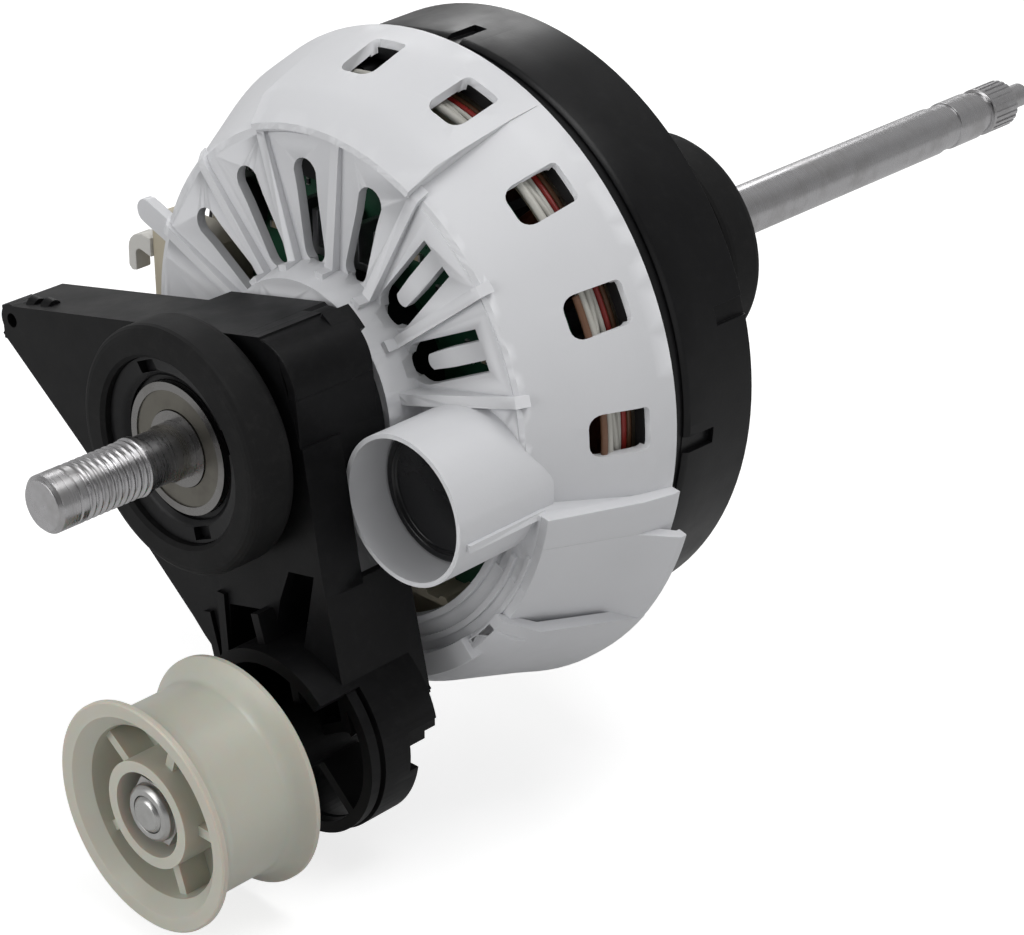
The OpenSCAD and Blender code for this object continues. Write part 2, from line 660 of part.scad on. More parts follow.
// Two ring chokes and a row of small electrolytic cans
module board_chokes() color([0.16, 0.13, 0.10]) {
    for (p = [[-24, -44], [-38, 26]]) translate([p[0], 0, p[1]]) ring(2.4, 5.5, board_y - 6, board_y);
    for (p = [[22, 47], [37, 35], [-29, 44]]) translate([p[0], 0, p[1]]) disc(2.5, board_y - 7, board_y);
}
module capacitor() color([0.07, 0.07, 0.08]) translate([tube_x, 0, tube_z]) {
    r = cap_d / 2;
    y1 = board_y - cap_len;
    turned([[0, y1 + 0.9], [r - 2.4, y1 + 0.9], [r - 2, y1], [r - 0.6, y1], [r, y1 + 0.8],
        [r, y1 + 3], [r - 0.5, y1 + 3.5], [r, y1 + 4], [r, board_y], [0, board_y]]);
}

connector_y = floor_in + 2.6;
// Connector housing on the left edge, between the board and the cover
module connector_block() color(beige) difference() {
    translate([-62, connector_y, -10]) cube([24, board_y - fit - connector_y, 29]);
    for (i = [0:3]) translate([-63, connector_y + 2.3, -7 + i * 6.6]) cube([12, 3.4, 3.4]);
}
module cord_hook() color([0.86, 0.85, 0.82]) {
    y1 = connector_y - fit - 4.4;
    y2 = connector_y - fit;
    difference() {
        union() {
            translate([-66.5, y1, 13.4]) cube([9, y2 - y1, 5.4]);
            translate([-66.2, 0, 12.6]) disc(6.2, y1, y2);
            translate([-72, y1, 5.6]) cube([4.4, y2 - y1, 7.4]);
        }
        translate([-66.4, 0, 9.6]) disc(3.4, y1 - 1, y2 + 1);
        translate([-67.6, y1 - 1, 2]) cube([8, 7, 9.5]);
    }
}
// Beige terminal tray that shows in the opening under the tube
module terminal_tray() color(beige) intersection() {
    union() {
        translate([10, board_y - 4.5, -56]) cube([25, 1.2, 9.5]);
        translate([10, board_y - 4.5, -47.7]) cube([25, 4.5 - fit, 1.2]);
    }
    disc(crease_r, board_y - 5, board_y);
}

// Outer ring of a bearing with its raceway
module bearing_outer(y) turned(concat(
    [[bearing_r, y], [bearing_r, y + bearing_w], [outer_land_d / 2, y + bearing_w]],
    [for (a = [-race_angle:race_angle / 4:race_angle]) [race_r + (ball_r + ball_play) * cos(a), y + bearing_w / 2 - (ball_r + ball_play) * sin(a)]],
    [[outer_land_d / 2, y]]));
module bearing_inner(y) turned(concat(
    [[shaft_r, y], [inner_d / 2, y]],
    [for (a = [-race_angle:race_angle / 4:race_angle]) [race_r - (ball_r + ball_play) * cos(a), y + bearing_w / 2 + (ball_r + ball_play) * sin(a)]],
    [[inner_d / 2, y + bearing_w], [shaft_r, y + bearing_w]]));
module bearing_shields(y) for (face = [y + 0.3, y + bearing_w - 0.3 - shield_t])
    ring(inner_d / 2 + 0.15, outer_land_d / 2 - 0.02, face, face + shield_t);
// Balls with the cage that spaces them
module bearing_balls(y) {
    for (i = [0:ball_count - 1]) rotate([0, i * 360 / ball_count, 0])
        translate([race_r, y + bearing_w / 2, 0]) sphere(ball_r, $fn = 32);
    ring(race_r - 0.8, race_r + 0.8, y + bearing_w / 2 - 0.5, y + bearing_w / 2 + 0.5);
}
module front_bearing_outer() color(steel) bearing_outer(0);
module rear_bearing_outer() color(steel) bearing_outer(rear_bearing_y);
module front_bearing_inner() color(steel) bearing_inner(0);
module rear_bearing_inner() color(steel) bearing_inner(rear_bearing_y);
module front_bearing_shields() color([0.6, 0.59, 0.55]) bearing_shields(0);
module rear_bearing_shields() color([0.6, 0.59, 0.55]) bearing_shields(rear_bearing_y);
module front_bearing_balls() color(steel) bearing_balls(0);
module rear_bearing_balls() color(steel) bearing_balls(rear_bearing_y);
// Spring washer that loads the rear bearing, flattened under load
module wave_washer() color(steel)
    ring(outer_land_d / 2 - 1.2, bearing_r - 0.3, rear_bearing_y - 0.7, rear_bearing_y - 0.2);

module shaft() color(steel) difference() {
    union() {
        turned(concat(
            [[0, -shaft_front], [shaft_r - shaft_chamfer, -shaft_front],
             [shaft_r, -shaft_front + shaft_chamfer], [shaft_r, -groove_end - 1.9],
             [shaft_r - 0.25, -groove_end - 1.75], [shaft_r - 0.25, -groove_end - 1.5], [shaft_r, -groove_end - 1.35],
             [shaft_r, -groove_end - 0.15]],
            [for (i = [groove_count:-1:1]) each [
                [shaft_r, -groove_start - i * groove_pitch + 0.15],
                [shaft_r - groove_depth, -groove_start - (i - 0.36) * groove_pitch],
                [shaft_r - groove_depth, -groove_start - (i - 0.64) * groove_pitch],
                [shaft_r, -groove_start - (i - 1) * groove_pitch - 0.15]]],
            [[shaft_r, -groove_start + 0.2], [shaft_r - 0.4, -groove_start + 0.5],
             [shaft_r - 0.4, -groove_start + 0.8], [collar_r, -groove_start + 1.1],
             [collar_r, -groove_start + 1.1 + collar_w], [neck_r, -groove_start + 1.6 + collar_w],
             [neck_r, -4], [shaft_r - fit / 4, -3.2], [shaft_r - fit / 4, bearing_w + 0.3],
             [shaft_r + 1.6, bearing_w + 0.3], [shaft_r + 1.6, rear_bearing_y - 0.2],
             [shaft_r - fit / 4, rear_bearing_y - 0.2], [shaft_r - fit / 4, rear_bearing_y + bearing_w + 2],
             [shaft_r, rear_bearing_y + bearing_w + 3],
             [shaft_r, shaft_rear - step_back - 0.3], [shaft_r - step_depth, shaft_rear - step_back],
             [shaft_r - step_depth, shaft_rear - step_back + step_len],
             [shaft_r, shaft_rear - step_back + step_len + 0.3],
             [shaft_r, shaft_rear - knurl_len - clip_w],
             [shaft_r - clip_depth, shaft_rear - knurl_len - clip_w + 0.3],
             [shaft_r - clip_depth, shaft_rear - knurl_len - 0.3],
             [shaft_r, shaft_rear - knurl_len], [shaft_r, shaft_rear - 0.6], [shaft_r - 0.6, shaft_rear],
             [pin_d / 2, shaft_rear], [pin_d / 2, shaft_rear + pin_len - 0.6],
             [pin_d / 2 - 0.6, shaft_rear + pin_len], [0, shaft_rear + pin_len]]
        ));
    }
    // Grooves of the knurled seat
    for (i = [0:knurl_count - 1]) rotate([0, i * 360 / knurl_count, 0])
        translate([shaft_r - knurl_depth, shaft_rear - knurl_len + 0.8, -0.3]) cube([2, knurl_len, 0.6]);
}

module rotor_core() color([0.5, 0.5, 0.52]) stand(rotor_y1) linear_extrude(rotor_y2 - rotor_y1)
    difference() {
        circle(rotor_r - magnet_t - fit);
        circle(shaft_r + 1.6 + fit / 2);
        for (i = [0:5]) rotate(i * 60) translate([(rotor_r - magnet_t + shaft_r) / 2 + 1, 0]) circle(3.6);
    }
module rotor_magnets() color([0.22, 0.22, 0.24])
    for (i = [0:magnets - 1]) turned([[rotor_r - magnet_t, rotor_y1 + 1], [rotor_r, rotor_y1 + 1],
        [rotor_r, rotor_y2 - 1], [rotor_r - magnet_t, rotor_y2 - 1]], i * 360 / magnets + 1, 360 / magnets - 2);
module rotor_end_rings() color([0.75, 0.75, 0.77])
    for (y = [rotor_y1 - 2, rotor_y2]) ring(shaft_r + 1.6 + fit / 2, rotor_r - 1.5, y, y + 2);

// The lever's outline, seen along the shaft, from the top left corner round by the right
lever_left = -67.7;
spring_x = lever_left + 3.2;
spring_z = 4.9;
spring_boss_r = spring_hole_d / 2 + 2;
spring_boss_h = 7;
// Rear face of the boss behind the roller, and front face of the pillar that carries the sleeve
boss_rear = hub_rear - 4;
// Depth that the ribs reach, and height of the low walls at the left end
ribs_rear = hub_rear - 6.8;
low_wall = 7.8;
pillar_y = roller_y + roller_w + 1.2;
function top_z(x) = 16.3 + (x + 27.7) * 0.221;
lever_points = [
    [lever_left, top_z(lever_left) - 1.2], [lever_left + 1, top_z(lever_left + 1)], [14, top_z(14)],
    [20, top_z(14) - 2], [25, 8], [27.6, -6.7], [30.8, -21.6], [37.8, -53.1], [32.1, -59.1],
    [roller_x, roller_z], [roller_x - boss_d / 2 + 2, roller_z + 6], [-6.1, -48.8], [-19.5, -36.1],
    [-44, -17.1], [lever_left + 0.2, 0.6]
];
module lever_outline() {
    polygon(lever_points);
    translate(roller_c) circle(boss_d / 2 - 0.5);
}
// Straight wall between two points of the outline
module wall(a, b, y1, y2, t = lever_t) {
    d = b - a;
    length = norm(d);
    stand(y1) translate(a) rotate(atan2(d[1], d[0])) translate([-t / 2, -t / 2]) cube([length + t, t, y2 - y1]);
}
roller_c = [roller_x, roller_z];
// Point in the middle of the boss's round wall
function boss_at(a) = roller_c + (boss_d / 2 - 1.5) * [cos(a), sin(a)];
module tension_lever() color(black) difference() {
    union() {
        // Front plate
        stand(lever_y) linear_extrude(lever_t) difference() {
            lever_outline();
            // Pockets above the roller's boss, between the ribs
            polygon([[2.5, -38], [14, -35], [13, -44], [2.5, -50]]);
            polygon([[16.6, -35], [21, -23.5], [28.4, -22], [24.5, -41], [17, -40]]);
            translate(roller_c) circle(boss_d / 2 - 3);
        }
        // Hub round the neck
        at_angle(-135) disc(hub_d / 2, lever_y, hub_rear);
        // Lug at the rear of the hub
        wedge(47, 58, hub_d / 2 - 1, hub_d / 2 + 4.6, hub_rear - 7, hub_rear);
        // Walls round the outline: the top wall is shallower than the right wall
        wall([lever_left + 1.4, top_z(lever_left) - 1], [14, top_z(14) - 1.2], lever_y, lever_y + top_wall);
        wall([25.4, 4], [29.6, -21.6], lever_y, tube_y - 1.2);
        wall([29.6, -21.6], [30.6, -26.2], lever_y, tube_y - 1.2);
        wall([30.6, -26.2], [36.6, -53.1], lever_y, hub_rear);
        wall([36.6, -53.1], [31.5, -58.6], lever_y + 6, hub_rear);
        wall([-42.5, -16.6], [-5.2, -47.6], lever_y, lever_y + top_wall);
        wall([lever_left + 1.4, 1.2], [-42.5, -16.6], lever_y, lever_y + low_wall);
        wall([lever_left + 1.4, 1.2], [lever_left + 1.4, top_z(lever_left) - 1], lever_y, lever_y + low_wall);
        wall([-5.2, -47.6], boss_at(153.5), lever_y, lever_y + top_wall);
        // Web behind the plate that ties the walls to the hub
        wall([-60, 7.5], [-24, 5], lever_y, lever_y + low_wall - 1, 2);
        wall([-40, -14], [-22, -8], lever_y, lever_y + 10, 2);
        wall([-14, -38], [-10, -23], lever_y, lever_y + 12, 2);
        // Boss behind the roller: tall on its upper half, open at the front
        at_roller() {
            difference() {
                disc(boss_d / 2, boss_y, boss_rear);
                disc(boss_d / 2 - 3, boss_y - 1, lever_y + 13);
                rotate([0, -218, 0]) wedge(0, 190, boss_d / 2 - 8, boss_d / 2 + 4, boss_y - 1, lever_y + 3.4);
            }
            // Pillar that the bolt screws through, with spokes to the boss
            disc(7, pillar_y, boss_rear);
            for (a = [30, 102, 174, 246, 318]) rotate([0, -a, 0])
                translate([6, lever_y + 1, -1.1]) cube([boss_d / 2 - 8, 10, 2.2]);
        }
        // Ribs from the plate's edge down to the boss
        wall([15, -35], [17.2, -42], boss_y + 3, ribs_rear, 2.2);
        wall([18.4, -23.6], [16, -36], lever_y, ribs_rear, 2.2);
        wall([0.8, -36.8], [1.6, -52], lever_y - 1, ribs_rear, 2.2);
        wall([-3.6, -43], [0, -56], lever_y - 1, ribs_rear, 2.2);
        // Boss of the spring's hole
        translate([spring_x, 0, spring_z]) disc(spring_boss_r, lever_y, lever_y + spring_boss_h);
        // Fin at the lower rear corner
        wall([36, -58], [44.5, -61], lever_y + 15, hub_rear - 1, 2.2);
        // Ears of the spring at the top left
        for (x = [-62, -57]) translate([x, lever_y + 4, top_z(x) - 0.6]) rotate([0, 90, 0])
            cylinder(r = 2, h = 2.4, $fn = 32);
    }
    disc(neck_ro + lever_play, lever_y - 4, hub_rear + 1);
    // Hole of the belt tensioner's spring
    translate([spring_x, 0, spring_z]) disc(spring_hole_d / 2, lever_y - 1, lever_y + spring_boss_h + 1);
    at_roller() disc(bolt_d / 2 + fit, pillar_y - 1, boss_rear + 1);
}

nut_front = roller_y + 1.7;
nut_h = 8;
washer_t = 1.6;
sleeve_y = nut_front + nut_h + washer_t + 2 * fit;
module at_roller() translate([roller_x, 0, roller_z]) children();
module roller_bolt() color(steel) at_roller() {
    head_y = boss_rear + fit;
    turned([[0, nut_front - 0.6], [bolt_d / 2 - 0.9, nut_front - 0.6], [bolt_d / 2, nut_front + 0.3],
        [bolt_d / 2, head_y], [0, head_y]]);
    stand(head_y) cylinder(r = nut_af / sqrt(3), h = 5.3, $fn = 6);
}
module roller_sleeve() color([0.76, 0.73, 0.62]) at_roller()
    ring(bolt_d / 2 + fit / 2, sleeve_d / 2, sleeve_y, pillar_y - fit);
module roller_washer() color(steel) at_roller()
    ring(bolt_d / 2 + fit / 2, 8.2, sleeve_y - washer_t - fit, sleeve_y - fit);
// Locking nut with a round collar at its front end
module roller_nut() color(steel) at_roller() difference() {
    nut_rear = nut_front + nut_h;
    collar = 6.1;
    union() {
        stand(nut_front + 2) cylinder(r = nut_af / sqrt(3), h = nut_h - 2, $fn = 6);
        turned([[0, nut_front], [collar - 0.9, nut_front], [collar, nut_front + 0.8],
            [collar, nut_front + 2.4], [0, nut_front + 2.4]]);
    }
    disc(bolt_d / 2 + fit / 4, nut_front - 1, nut_rear + 1);
}
// Roller: a flared drum with a spoked hub that turns on the sleeve
module idler_roller() color(natural) at_roller() {
    y1 = roller_y;
    y2 = roller_y + roller_w;
    rf = flange_d / 2;
    rd = drum_d / 2;
    ri = rd - drum_t;
    rh = roller_hub_d / 2;
    rb = sleeve_d / 2 + roller_play;
    mid = (y1 + y2) / 2;
    turned([[rf, y1 + 0.3], [rf, y1 + 1.3], [rd + 1.2, y1 + 3.4], [rd, y1 + 6], [rd, y2 - 6], [rd + 1.2, y2 - 3.4],
        [rf, y2 - 1.3], [rf, y2 - 0.3], [rf - 0.4, y2], [rd + 0.6, y2 - 0.2], [ri, y2 - 3], [ri, y1 + 3],
        [rd + 0.6, y1 + 0.2], [rf - 0.4, y1]]);
    turned([[rh, y1 + 1.6], [rh, y2 - 1.6], [rb + 2.5, y2 - 1.6], [rb + 2.5, pillar_y - 0.3], [rb, pillar_y - 0.3],
        [rb, sleeve_y + 0.2], [rh - 2.4, sleeve_y + 0.2], [rh - 2.4, y1 + 1.6]]);
    ring(rh - 0.5, ri + 0.5, mid - 1.2, mid + 1.2);
    for (i = [0:spokes - 1]) rotate([0, i * 360 / spokes, 0])
        translate([rh - 0.6, y1 + 5, -1.1]) cube([ri - rh + 1.2, roller_w - 10, 2.2]);
}

front_cover();
rear_housing();
neck_carrier();
front_ring_holder();
front_rubber_ring();
rear_ring_holder();
rear_rubber_ring();
stator_core();
front_insulator();
rear_insulator();
windings();
phase_wires();
circuit_board();
board_chips();
heat_sink();
board_chokes();
capacitor();
connector_block();
cord_hook();
terminal_tray();
carrier_screws();
front_bearing_outer();
front_bearing_shields();
rear_bearing_outer();
rear_bearing_shields();
wave_washer();
shaft();
rotor_core();
rotor_magnets();
rotor_end_rings();
front_bearing_inner();
rear_bearing_inner();
front_bearing_balls();
rear_bearing_balls();
tension_lever();
roller_bolt();
roller_sleeve();
roller_washer();
roller_nut();
idler_roller();
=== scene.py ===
# %% [markdown]
# # Drive motor of a tumble dryer
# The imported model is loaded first. Every object in it already stands in its place, in metres, so
# this lesson only adds finishes, softened edges and the small parts that are too fine for the CAD.

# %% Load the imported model
import json
import math
import random

import bpy
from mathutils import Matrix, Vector

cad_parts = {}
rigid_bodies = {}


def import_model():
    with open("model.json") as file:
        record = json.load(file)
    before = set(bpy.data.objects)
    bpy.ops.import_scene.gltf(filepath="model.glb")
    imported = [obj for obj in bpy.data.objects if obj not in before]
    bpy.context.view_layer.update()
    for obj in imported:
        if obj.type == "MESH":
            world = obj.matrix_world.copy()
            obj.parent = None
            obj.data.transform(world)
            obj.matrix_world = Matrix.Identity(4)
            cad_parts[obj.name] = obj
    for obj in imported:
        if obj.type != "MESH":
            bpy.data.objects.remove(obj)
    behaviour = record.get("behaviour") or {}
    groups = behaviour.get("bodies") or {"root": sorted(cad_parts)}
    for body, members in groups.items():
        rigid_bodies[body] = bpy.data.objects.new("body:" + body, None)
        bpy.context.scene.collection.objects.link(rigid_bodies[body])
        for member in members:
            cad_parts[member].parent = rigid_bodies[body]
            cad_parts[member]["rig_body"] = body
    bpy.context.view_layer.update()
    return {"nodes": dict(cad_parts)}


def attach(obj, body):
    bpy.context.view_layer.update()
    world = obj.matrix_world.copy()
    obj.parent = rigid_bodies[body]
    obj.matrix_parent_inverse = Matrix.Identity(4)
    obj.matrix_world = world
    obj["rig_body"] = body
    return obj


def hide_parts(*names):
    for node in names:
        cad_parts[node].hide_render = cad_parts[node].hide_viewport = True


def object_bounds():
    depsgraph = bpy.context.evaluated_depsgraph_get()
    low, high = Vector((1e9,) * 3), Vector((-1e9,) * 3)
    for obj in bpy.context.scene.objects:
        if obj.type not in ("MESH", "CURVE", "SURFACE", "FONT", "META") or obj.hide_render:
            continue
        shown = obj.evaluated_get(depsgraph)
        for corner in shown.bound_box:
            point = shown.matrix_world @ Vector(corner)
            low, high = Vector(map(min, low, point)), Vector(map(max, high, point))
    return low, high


bpy.context.scene.view_settings.view_transform = "Standard"
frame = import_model()
nodes = frame["nodes"]
MM = 0.001
print("pieces in the packed model:", len(nodes))

# %% [markdown]
# ## Camera
# The photograph was taken from the front right and from above, with a long lens. The place, the
# turn and the lens come from a fit to the round edges of the rings, the cover and the roller.

# %% Camera
AZIMUTH = math.radians(43.76)
ELEVATION = math.radians(26.83)
CAMERA_PLACE = (0.41406, -0.33656, 0.26346)
LENS_MM = 105.11
SENSOR_MM = 36
SHIFT_UP = 0.00115
camera_data = bpy.data.cameras.new("camera")
camera_data.lens = LENS_MM
camera_data.sensor_width = SENSOR_MM
camera_data.sensor_fit = "HORIZONTAL"
camera_data.shift_y = SHIFT_UP
camera = bpy.data.objects.new("camera", camera_data)
bpy.context.scene.collection.objects.link(camera)
camera.location = CAMERA_PLACE
camera.rotation_euler = (math.pi / 2 - ELEVATION, 0, AZIMUTH)
bpy.context.scene.camera = camera
print("camera looks down by", round(math.degrees(ELEVATION), 1), "degrees")

# %% [markdown]
# ## Helpers for materials
# Every finish here is a Principled shader whose colour, roughness and bump come from shared node
# groups. A group is built once, with named inputs, and each material sets its own values. These
# helpers each add one node, so that a group reads like a short sum.


# %% Node helpers
def node(tree, kind, **settings):
    made = tree.nodes.new(kind)
    for key, value in settings.items():
        setattr(made, key, value)
    return made


def noise(tree, coordinates, scale, detail=3.0, roughness=0.55):
    made = node(tree, "ShaderNodeTexNoise")
    made.inputs["Detail"].default_value = detail
    made.inputs["Roughness"].default_value = roughness
    if isinstance(scale, bpy.types.NodeSocket):
        tree.links.new(scale, made.inputs["Scale"])
    else:
        made.inputs["Scale"].default_value = scale
    tree.links.new(coordinates, made.inputs["Vector"])
    return made.outputs["Fac"]


def spread(tree, value, low, high, to_low=0.0, to_high=1.0):
    made = node(tree, "ShaderNodeMapRange", clamp=True)
    ends = (("From Min", low), ("From Max", high), ("To Min", to_low), ("To Max", to_high))
    for name, end in ends:
        made.inputs[name].default_value = end
    tree.links.new(value, made.inputs["Value"])
    return made.outputs["Result"]


def mixed(tree, factor, first, second):
    made = node(tree, "ShaderNodeMix", data_type="RGBA")
    for place, value in ((0, factor), (6, first), (7, second)):
        tree.links.new(value, made.inputs[place])
    return made.outputs[2]


def sums(tree, operation, first, second):
    made = node(tree, "ShaderNodeMath", operation=operation)
    for place, value in ((0, first), (1, second)):
        if isinstance(value, bpy.types.NodeSocket):
            tree.links.new(value, made.inputs[place])
        else:
            made.inputs[place].default_value = value
    return made.outputs[0]


# %% [markdown]
# ## One pattern for every skin
# Both skins below take a few named values and give a colour, a roughness and a height. The frame
# round their nodes is the same, so one function builds it and hands back the loose ends.

# %% Skin frame
COLOUR, NUMBER = "NodeSocketColor", "NodeSocketFloat"


def skin_group(name, values):
    group = bpy.data.node_groups.new(name, "ShaderNodeTree")
    for label, kind, value in values:
        item = group.interface.new_socket(name=label, in_out="INPUT", socket_type=kind)
        item.default_value = value
    for label, kind in (("Colour", COLOUR), ("Roughness", NUMBER), ("Height", NUMBER)):
        group.interface.new_socket(name=label, in_out="OUTPUT", socket_type=kind)
    given = node(group, "NodeGroupInput").outputs
    wanted = node(group, "NodeGroupOutput").inputs
    places = node(group, "ShaderNodeTexCoord").outputs["Object"]
    return group, given, wanted, places


# %% [markdown]
# ## The moulded skin
# Moulded plastic and rubber are never one flat colour: the melt leaves faint clouds, handling
# leaves fine dust on the dark parts, and the tool's spark-worn steel leaves a fine grain. One
# group gives a tone between two colours, a roughness that wanders a little, and a bump height.

# %% Moulded skin group
moulded_skin, given, wanted, places = skin_group("moulded_skin", (
    ("Colour", COLOUR, (0.5, 0.5, 0.5, 1)),
    ("Cloud colour", COLOUR, (0.4, 0.4, 0.4, 1)),
    ("Dust colour", COLOUR, (0.6, 0.6, 0.6, 1)),
    ("Dust", NUMBER, 0.1),
    ("Roughness", NUMBER, 0.5),
    ("Grain size", NUMBER, 1500),
))
clouds = spread(moulded_skin, noise(moulded_skin, places, 38, 4), 0.3, 0.7)
specks = spread(moulded_skin, noise(moulded_skin, places, 420, 5, 0.7), 0.5, 0.78)
dusty = sums(moulded_skin, "MULTIPLY", specks, given["Dust"])
tone = mixed(moulded_skin, clouds, given["Colour"], given["Cloud colour"])
tone = mixed(moulded_skin, dusty, tone, given["Dust colour"])
worn = spread(moulded_skin, noise(moulded_skin, places, 90, 3), 0.25, 0.75, -0.06, 0.08)
rough = sums(moulded_skin, "ADD", given["Roughness"], worn)
rough = sums(moulded_skin, "ADD", rough, dusty)
grain = noise(moulded_skin, places, given["Grain size"], 2)
moulded_skin.links.new(tone, wanted["Colour"])
moulded_skin.links.new(rough, wanted["Roughness"])
moulded_skin.links.new(grain, wanted["Height"])
print("group", moulded_skin.name, "has", len(moulded_skin.nodes), "nodes")

# %% [markdown]
# ## The machined skin
# A turned shaft shows fine rings from the lathe and the grinding wheel, so the pattern has to
# change along the shaft and not across it. The Object coordinates are squeezed so that only the
# Y axis matters much, and faint stains and scratches break up the shine.

# %% Machined skin group
machined_skin, given, wanted, places = skin_group("machined_skin", (
    ("Colour", COLOUR, (0.6, 0.6, 0.6, 1)),
    ("Stain colour", COLOUR, (0.4, 0.38, 0.35, 1)),
    ("Roughness", NUMBER, 0.25),
))
along = node(machined_skin, "ShaderNodeMapping")
along.inputs["Scale"].default_value = (0.02, 1, 0.02)
machined_skin.links.new(places, along.inputs["Vector"])
rings = noise(machined_skin, along.outputs["Vector"], 5200, 3, 0.7)
stains = spread(machined_skin, noise(machined_skin, places, 120, 5, 0.65), 0.48, 0.75)
faint = sums(machined_skin, "MULTIPLY", stains, 0.55)
tone = mixed(machined_skin, faint, given["Colour"], given["Stain colour"])
streaks = spread(machined_skin, rings, 0.3, 0.7, -0.06, 0.1)
rough = sums(machined_skin, "ADD", given["Roughness"], streaks)
rough = sums(machined_skin, "ADD", rough, sums(machined_skin, "MULTIPLY", stains, 0.12))
machined_skin.links.new(tone, wanted["Colour"])
machined_skin.links.new(rough, wanted["Roughness"])
machined_skin.links.new(rings, wanted["Height"])
print("group", machined_skin.name, "has", len(machined_skin.nodes), "nodes")

# %% [markdown]
# ## From a skin to a material
# A material is a Principled shader with one of the two groups plugged into it. What stays the same
# over the whole surface, such as the specular level, is set on the shader's own sockets.


# %% Material makers
def shader(name, **constants):
    material = bpy.data.materials.new(name)
    material.use_nodes = True
    principled = material.node_tree.nodes["Principled BSDF"]
    for key, value in constants.items():
        principled.inputs[key.replace("_", " ")].default_value = value
    return material, material.node_tree, principled


def finish_with(tree, principled, skin, bump_strength, bump_depth):
    tree.links.new(skin.outputs["Colour"], principled.inputs["Base Color"])
    tree.links.new(skin.outputs["Roughness"], principled.inputs["Roughness"])
    bump = node(tree, "ShaderNodeBump")
    bump.inputs["Strength"].default_value = bump_strength
    bump.inputs["Distance"].default_value = bump_depth
    tree.links.new(skin.outputs["Height"], bump.inputs["Height"])
    tree.links.new(bump.outputs["Normal"], principled.inputs["Normal"])


def moulded(name, colour, cloud, rough, dust=0.0, dust_colour=(0.6, 0.6, 0.6), grain=1500,
            depth=0.00004, bump=0.25, **constants):
    material, tree, principled = shader(name, **constants)
    skin = node(tree, "ShaderNodeGroup", node_tree=moulded_skin)
    skin.inputs["Colour"].default_value = (*colour, 1)
    skin.inputs["Cloud colour"].default_value = (*cloud, 1)
    skin.inputs["Dust colour"].default_value = (*dust_colour, 1)
    skin.inputs["Dust"].default_value = dust
    skin.inputs["Roughness"].default_value = rough
    skin.inputs["Grain size"].default_value = grain
    finish_with(tree, principled, skin, bump, depth)
    return material


def machined(name, colour, stain, rough, bump=0.2, depth=0.00003):
    material, tree, principled = shader(name, Metallic=1.0)
    skin = node(tree, "ShaderNodeGroup", node_tree=machined_skin)
    skin.inputs["Colour"].default_value = (*colour, 1)
    skin.inputs["Stain colour"].default_value = (*stain, 1)
    skin.inputs["Roughness"].default_value = rough
    finish_with(tree, principled, skin, bump, depth)
    return material


# %% [markdown]
# ## Plastics and rubber
# White cover plastic, satin black plastic, matte rubber and milky nylon. Each line gives the
# colour, the colour of its clouds and the roughness, and then how much dust lies on it and of what
# colour. The values are read off the photograph.

# %% Plastic finishes
cover_white = moulded("cover_white", (0.70, 0.705, 0.725), (0.675, 0.68, 0.70), 0.42, 0.04,
                      (0.60, 0.59, 0.57))
shell_black = moulded("shell_black", (0.0050, 0.0050, 0.0056), (0.0068, 0.0068, 0.0075), 0.36, 0.03,
                      (0.10, 0.10, 0.10), Specular_IOR_Level=0.22)
lever_black = moulded("lever_black", (0.0042, 0.0042, 0.0047), (0.0058, 0.0058, 0.0063), 0.44, 0.04,
                      (0.11, 0.11, 0.11), Specular_IOR_Level=0.16)
ring_rubber = moulded("ring_rubber", (0.0066, 0.0066, 0.0069), (0.0095, 0.0095, 0.0098), 0.66, 0.06,
                      (0.13, 0.125, 0.12), 900, 0.00006, 0.35, Specular_IOR_Level=0.2)
roller_nylon = moulded("roller_nylon", (0.56, 0.56, 0.49), (0.53, 0.525, 0.445), 0.34, 0.03,
                       (0.45, 0.45, 0.42), Subsurface_Weight=0.4, Subsurface_Scale=0.004)
bobbin_beige = moulded("bobbin_beige", (0.52, 0.47, 0.36), (0.46, 0.41, 0.31), 0.5, 0.05)
pale_plastic = moulded("pale_plastic", (0.64, 0.63, 0.60), (0.60, 0.59, 0.56), 0.45, 0.05)
can_black = moulded("can_black", (0.0065, 0.0065, 0.0075), (0.009, 0.009, 0.010), 0.24, 0.03,
                    (0.1, 0.1, 0.1), Specular_IOR_Level=0.4)
print("plastic finishes:", len(bpy.data.materials))

# %% [markdown]
# ## Wires and the circuit board
# Wire enamel and the board's lacquer are smooth and a little shiny, so their roughness is low. They
# are seen only through slots and windows, and their colour matters more than their grain.

# %% Electrical finishes
wire_red = moulded("wire_red", (0.30, 0.025, 0.02), (0.22, 0.02, 0.018), 0.3)
wire_grey = moulded("wire_grey", (0.50, 0.49, 0.45), (0.44, 0.43, 0.39), 0.4, 0.06)
wire_brown = moulded("wire_brown", (0.16, 0.075, 0.04), (0.13, 0.06, 0.03), 0.36, 0.04)
coil_enamel = moulded("coil_enamel", (0.22, 0.065, 0.035), (0.15, 0.045, 0.025), 0.3)
board_green = moulded("board_green", (0.020, 0.085, 0.045), (0.014, 0.066, 0.036), 0.3)
dark_parts = moulded("dark_parts", (0.022, 0.022, 0.024), (0.034, 0.034, 0.036), 0.45, 0.1,
                     (0.2, 0.2, 0.2))
chip_ceramic = moulded("chip_ceramic", (0.46, 0.38, 0.27), (0.40, 0.32, 0.22), 0.4)
magnet_grey = moulded("magnet_grey", (0.05, 0.05, 0.053), (0.07, 0.07, 0.073), 0.5, 0.1)
print("plastic and electrical finishes:", len(bpy.data.materials))
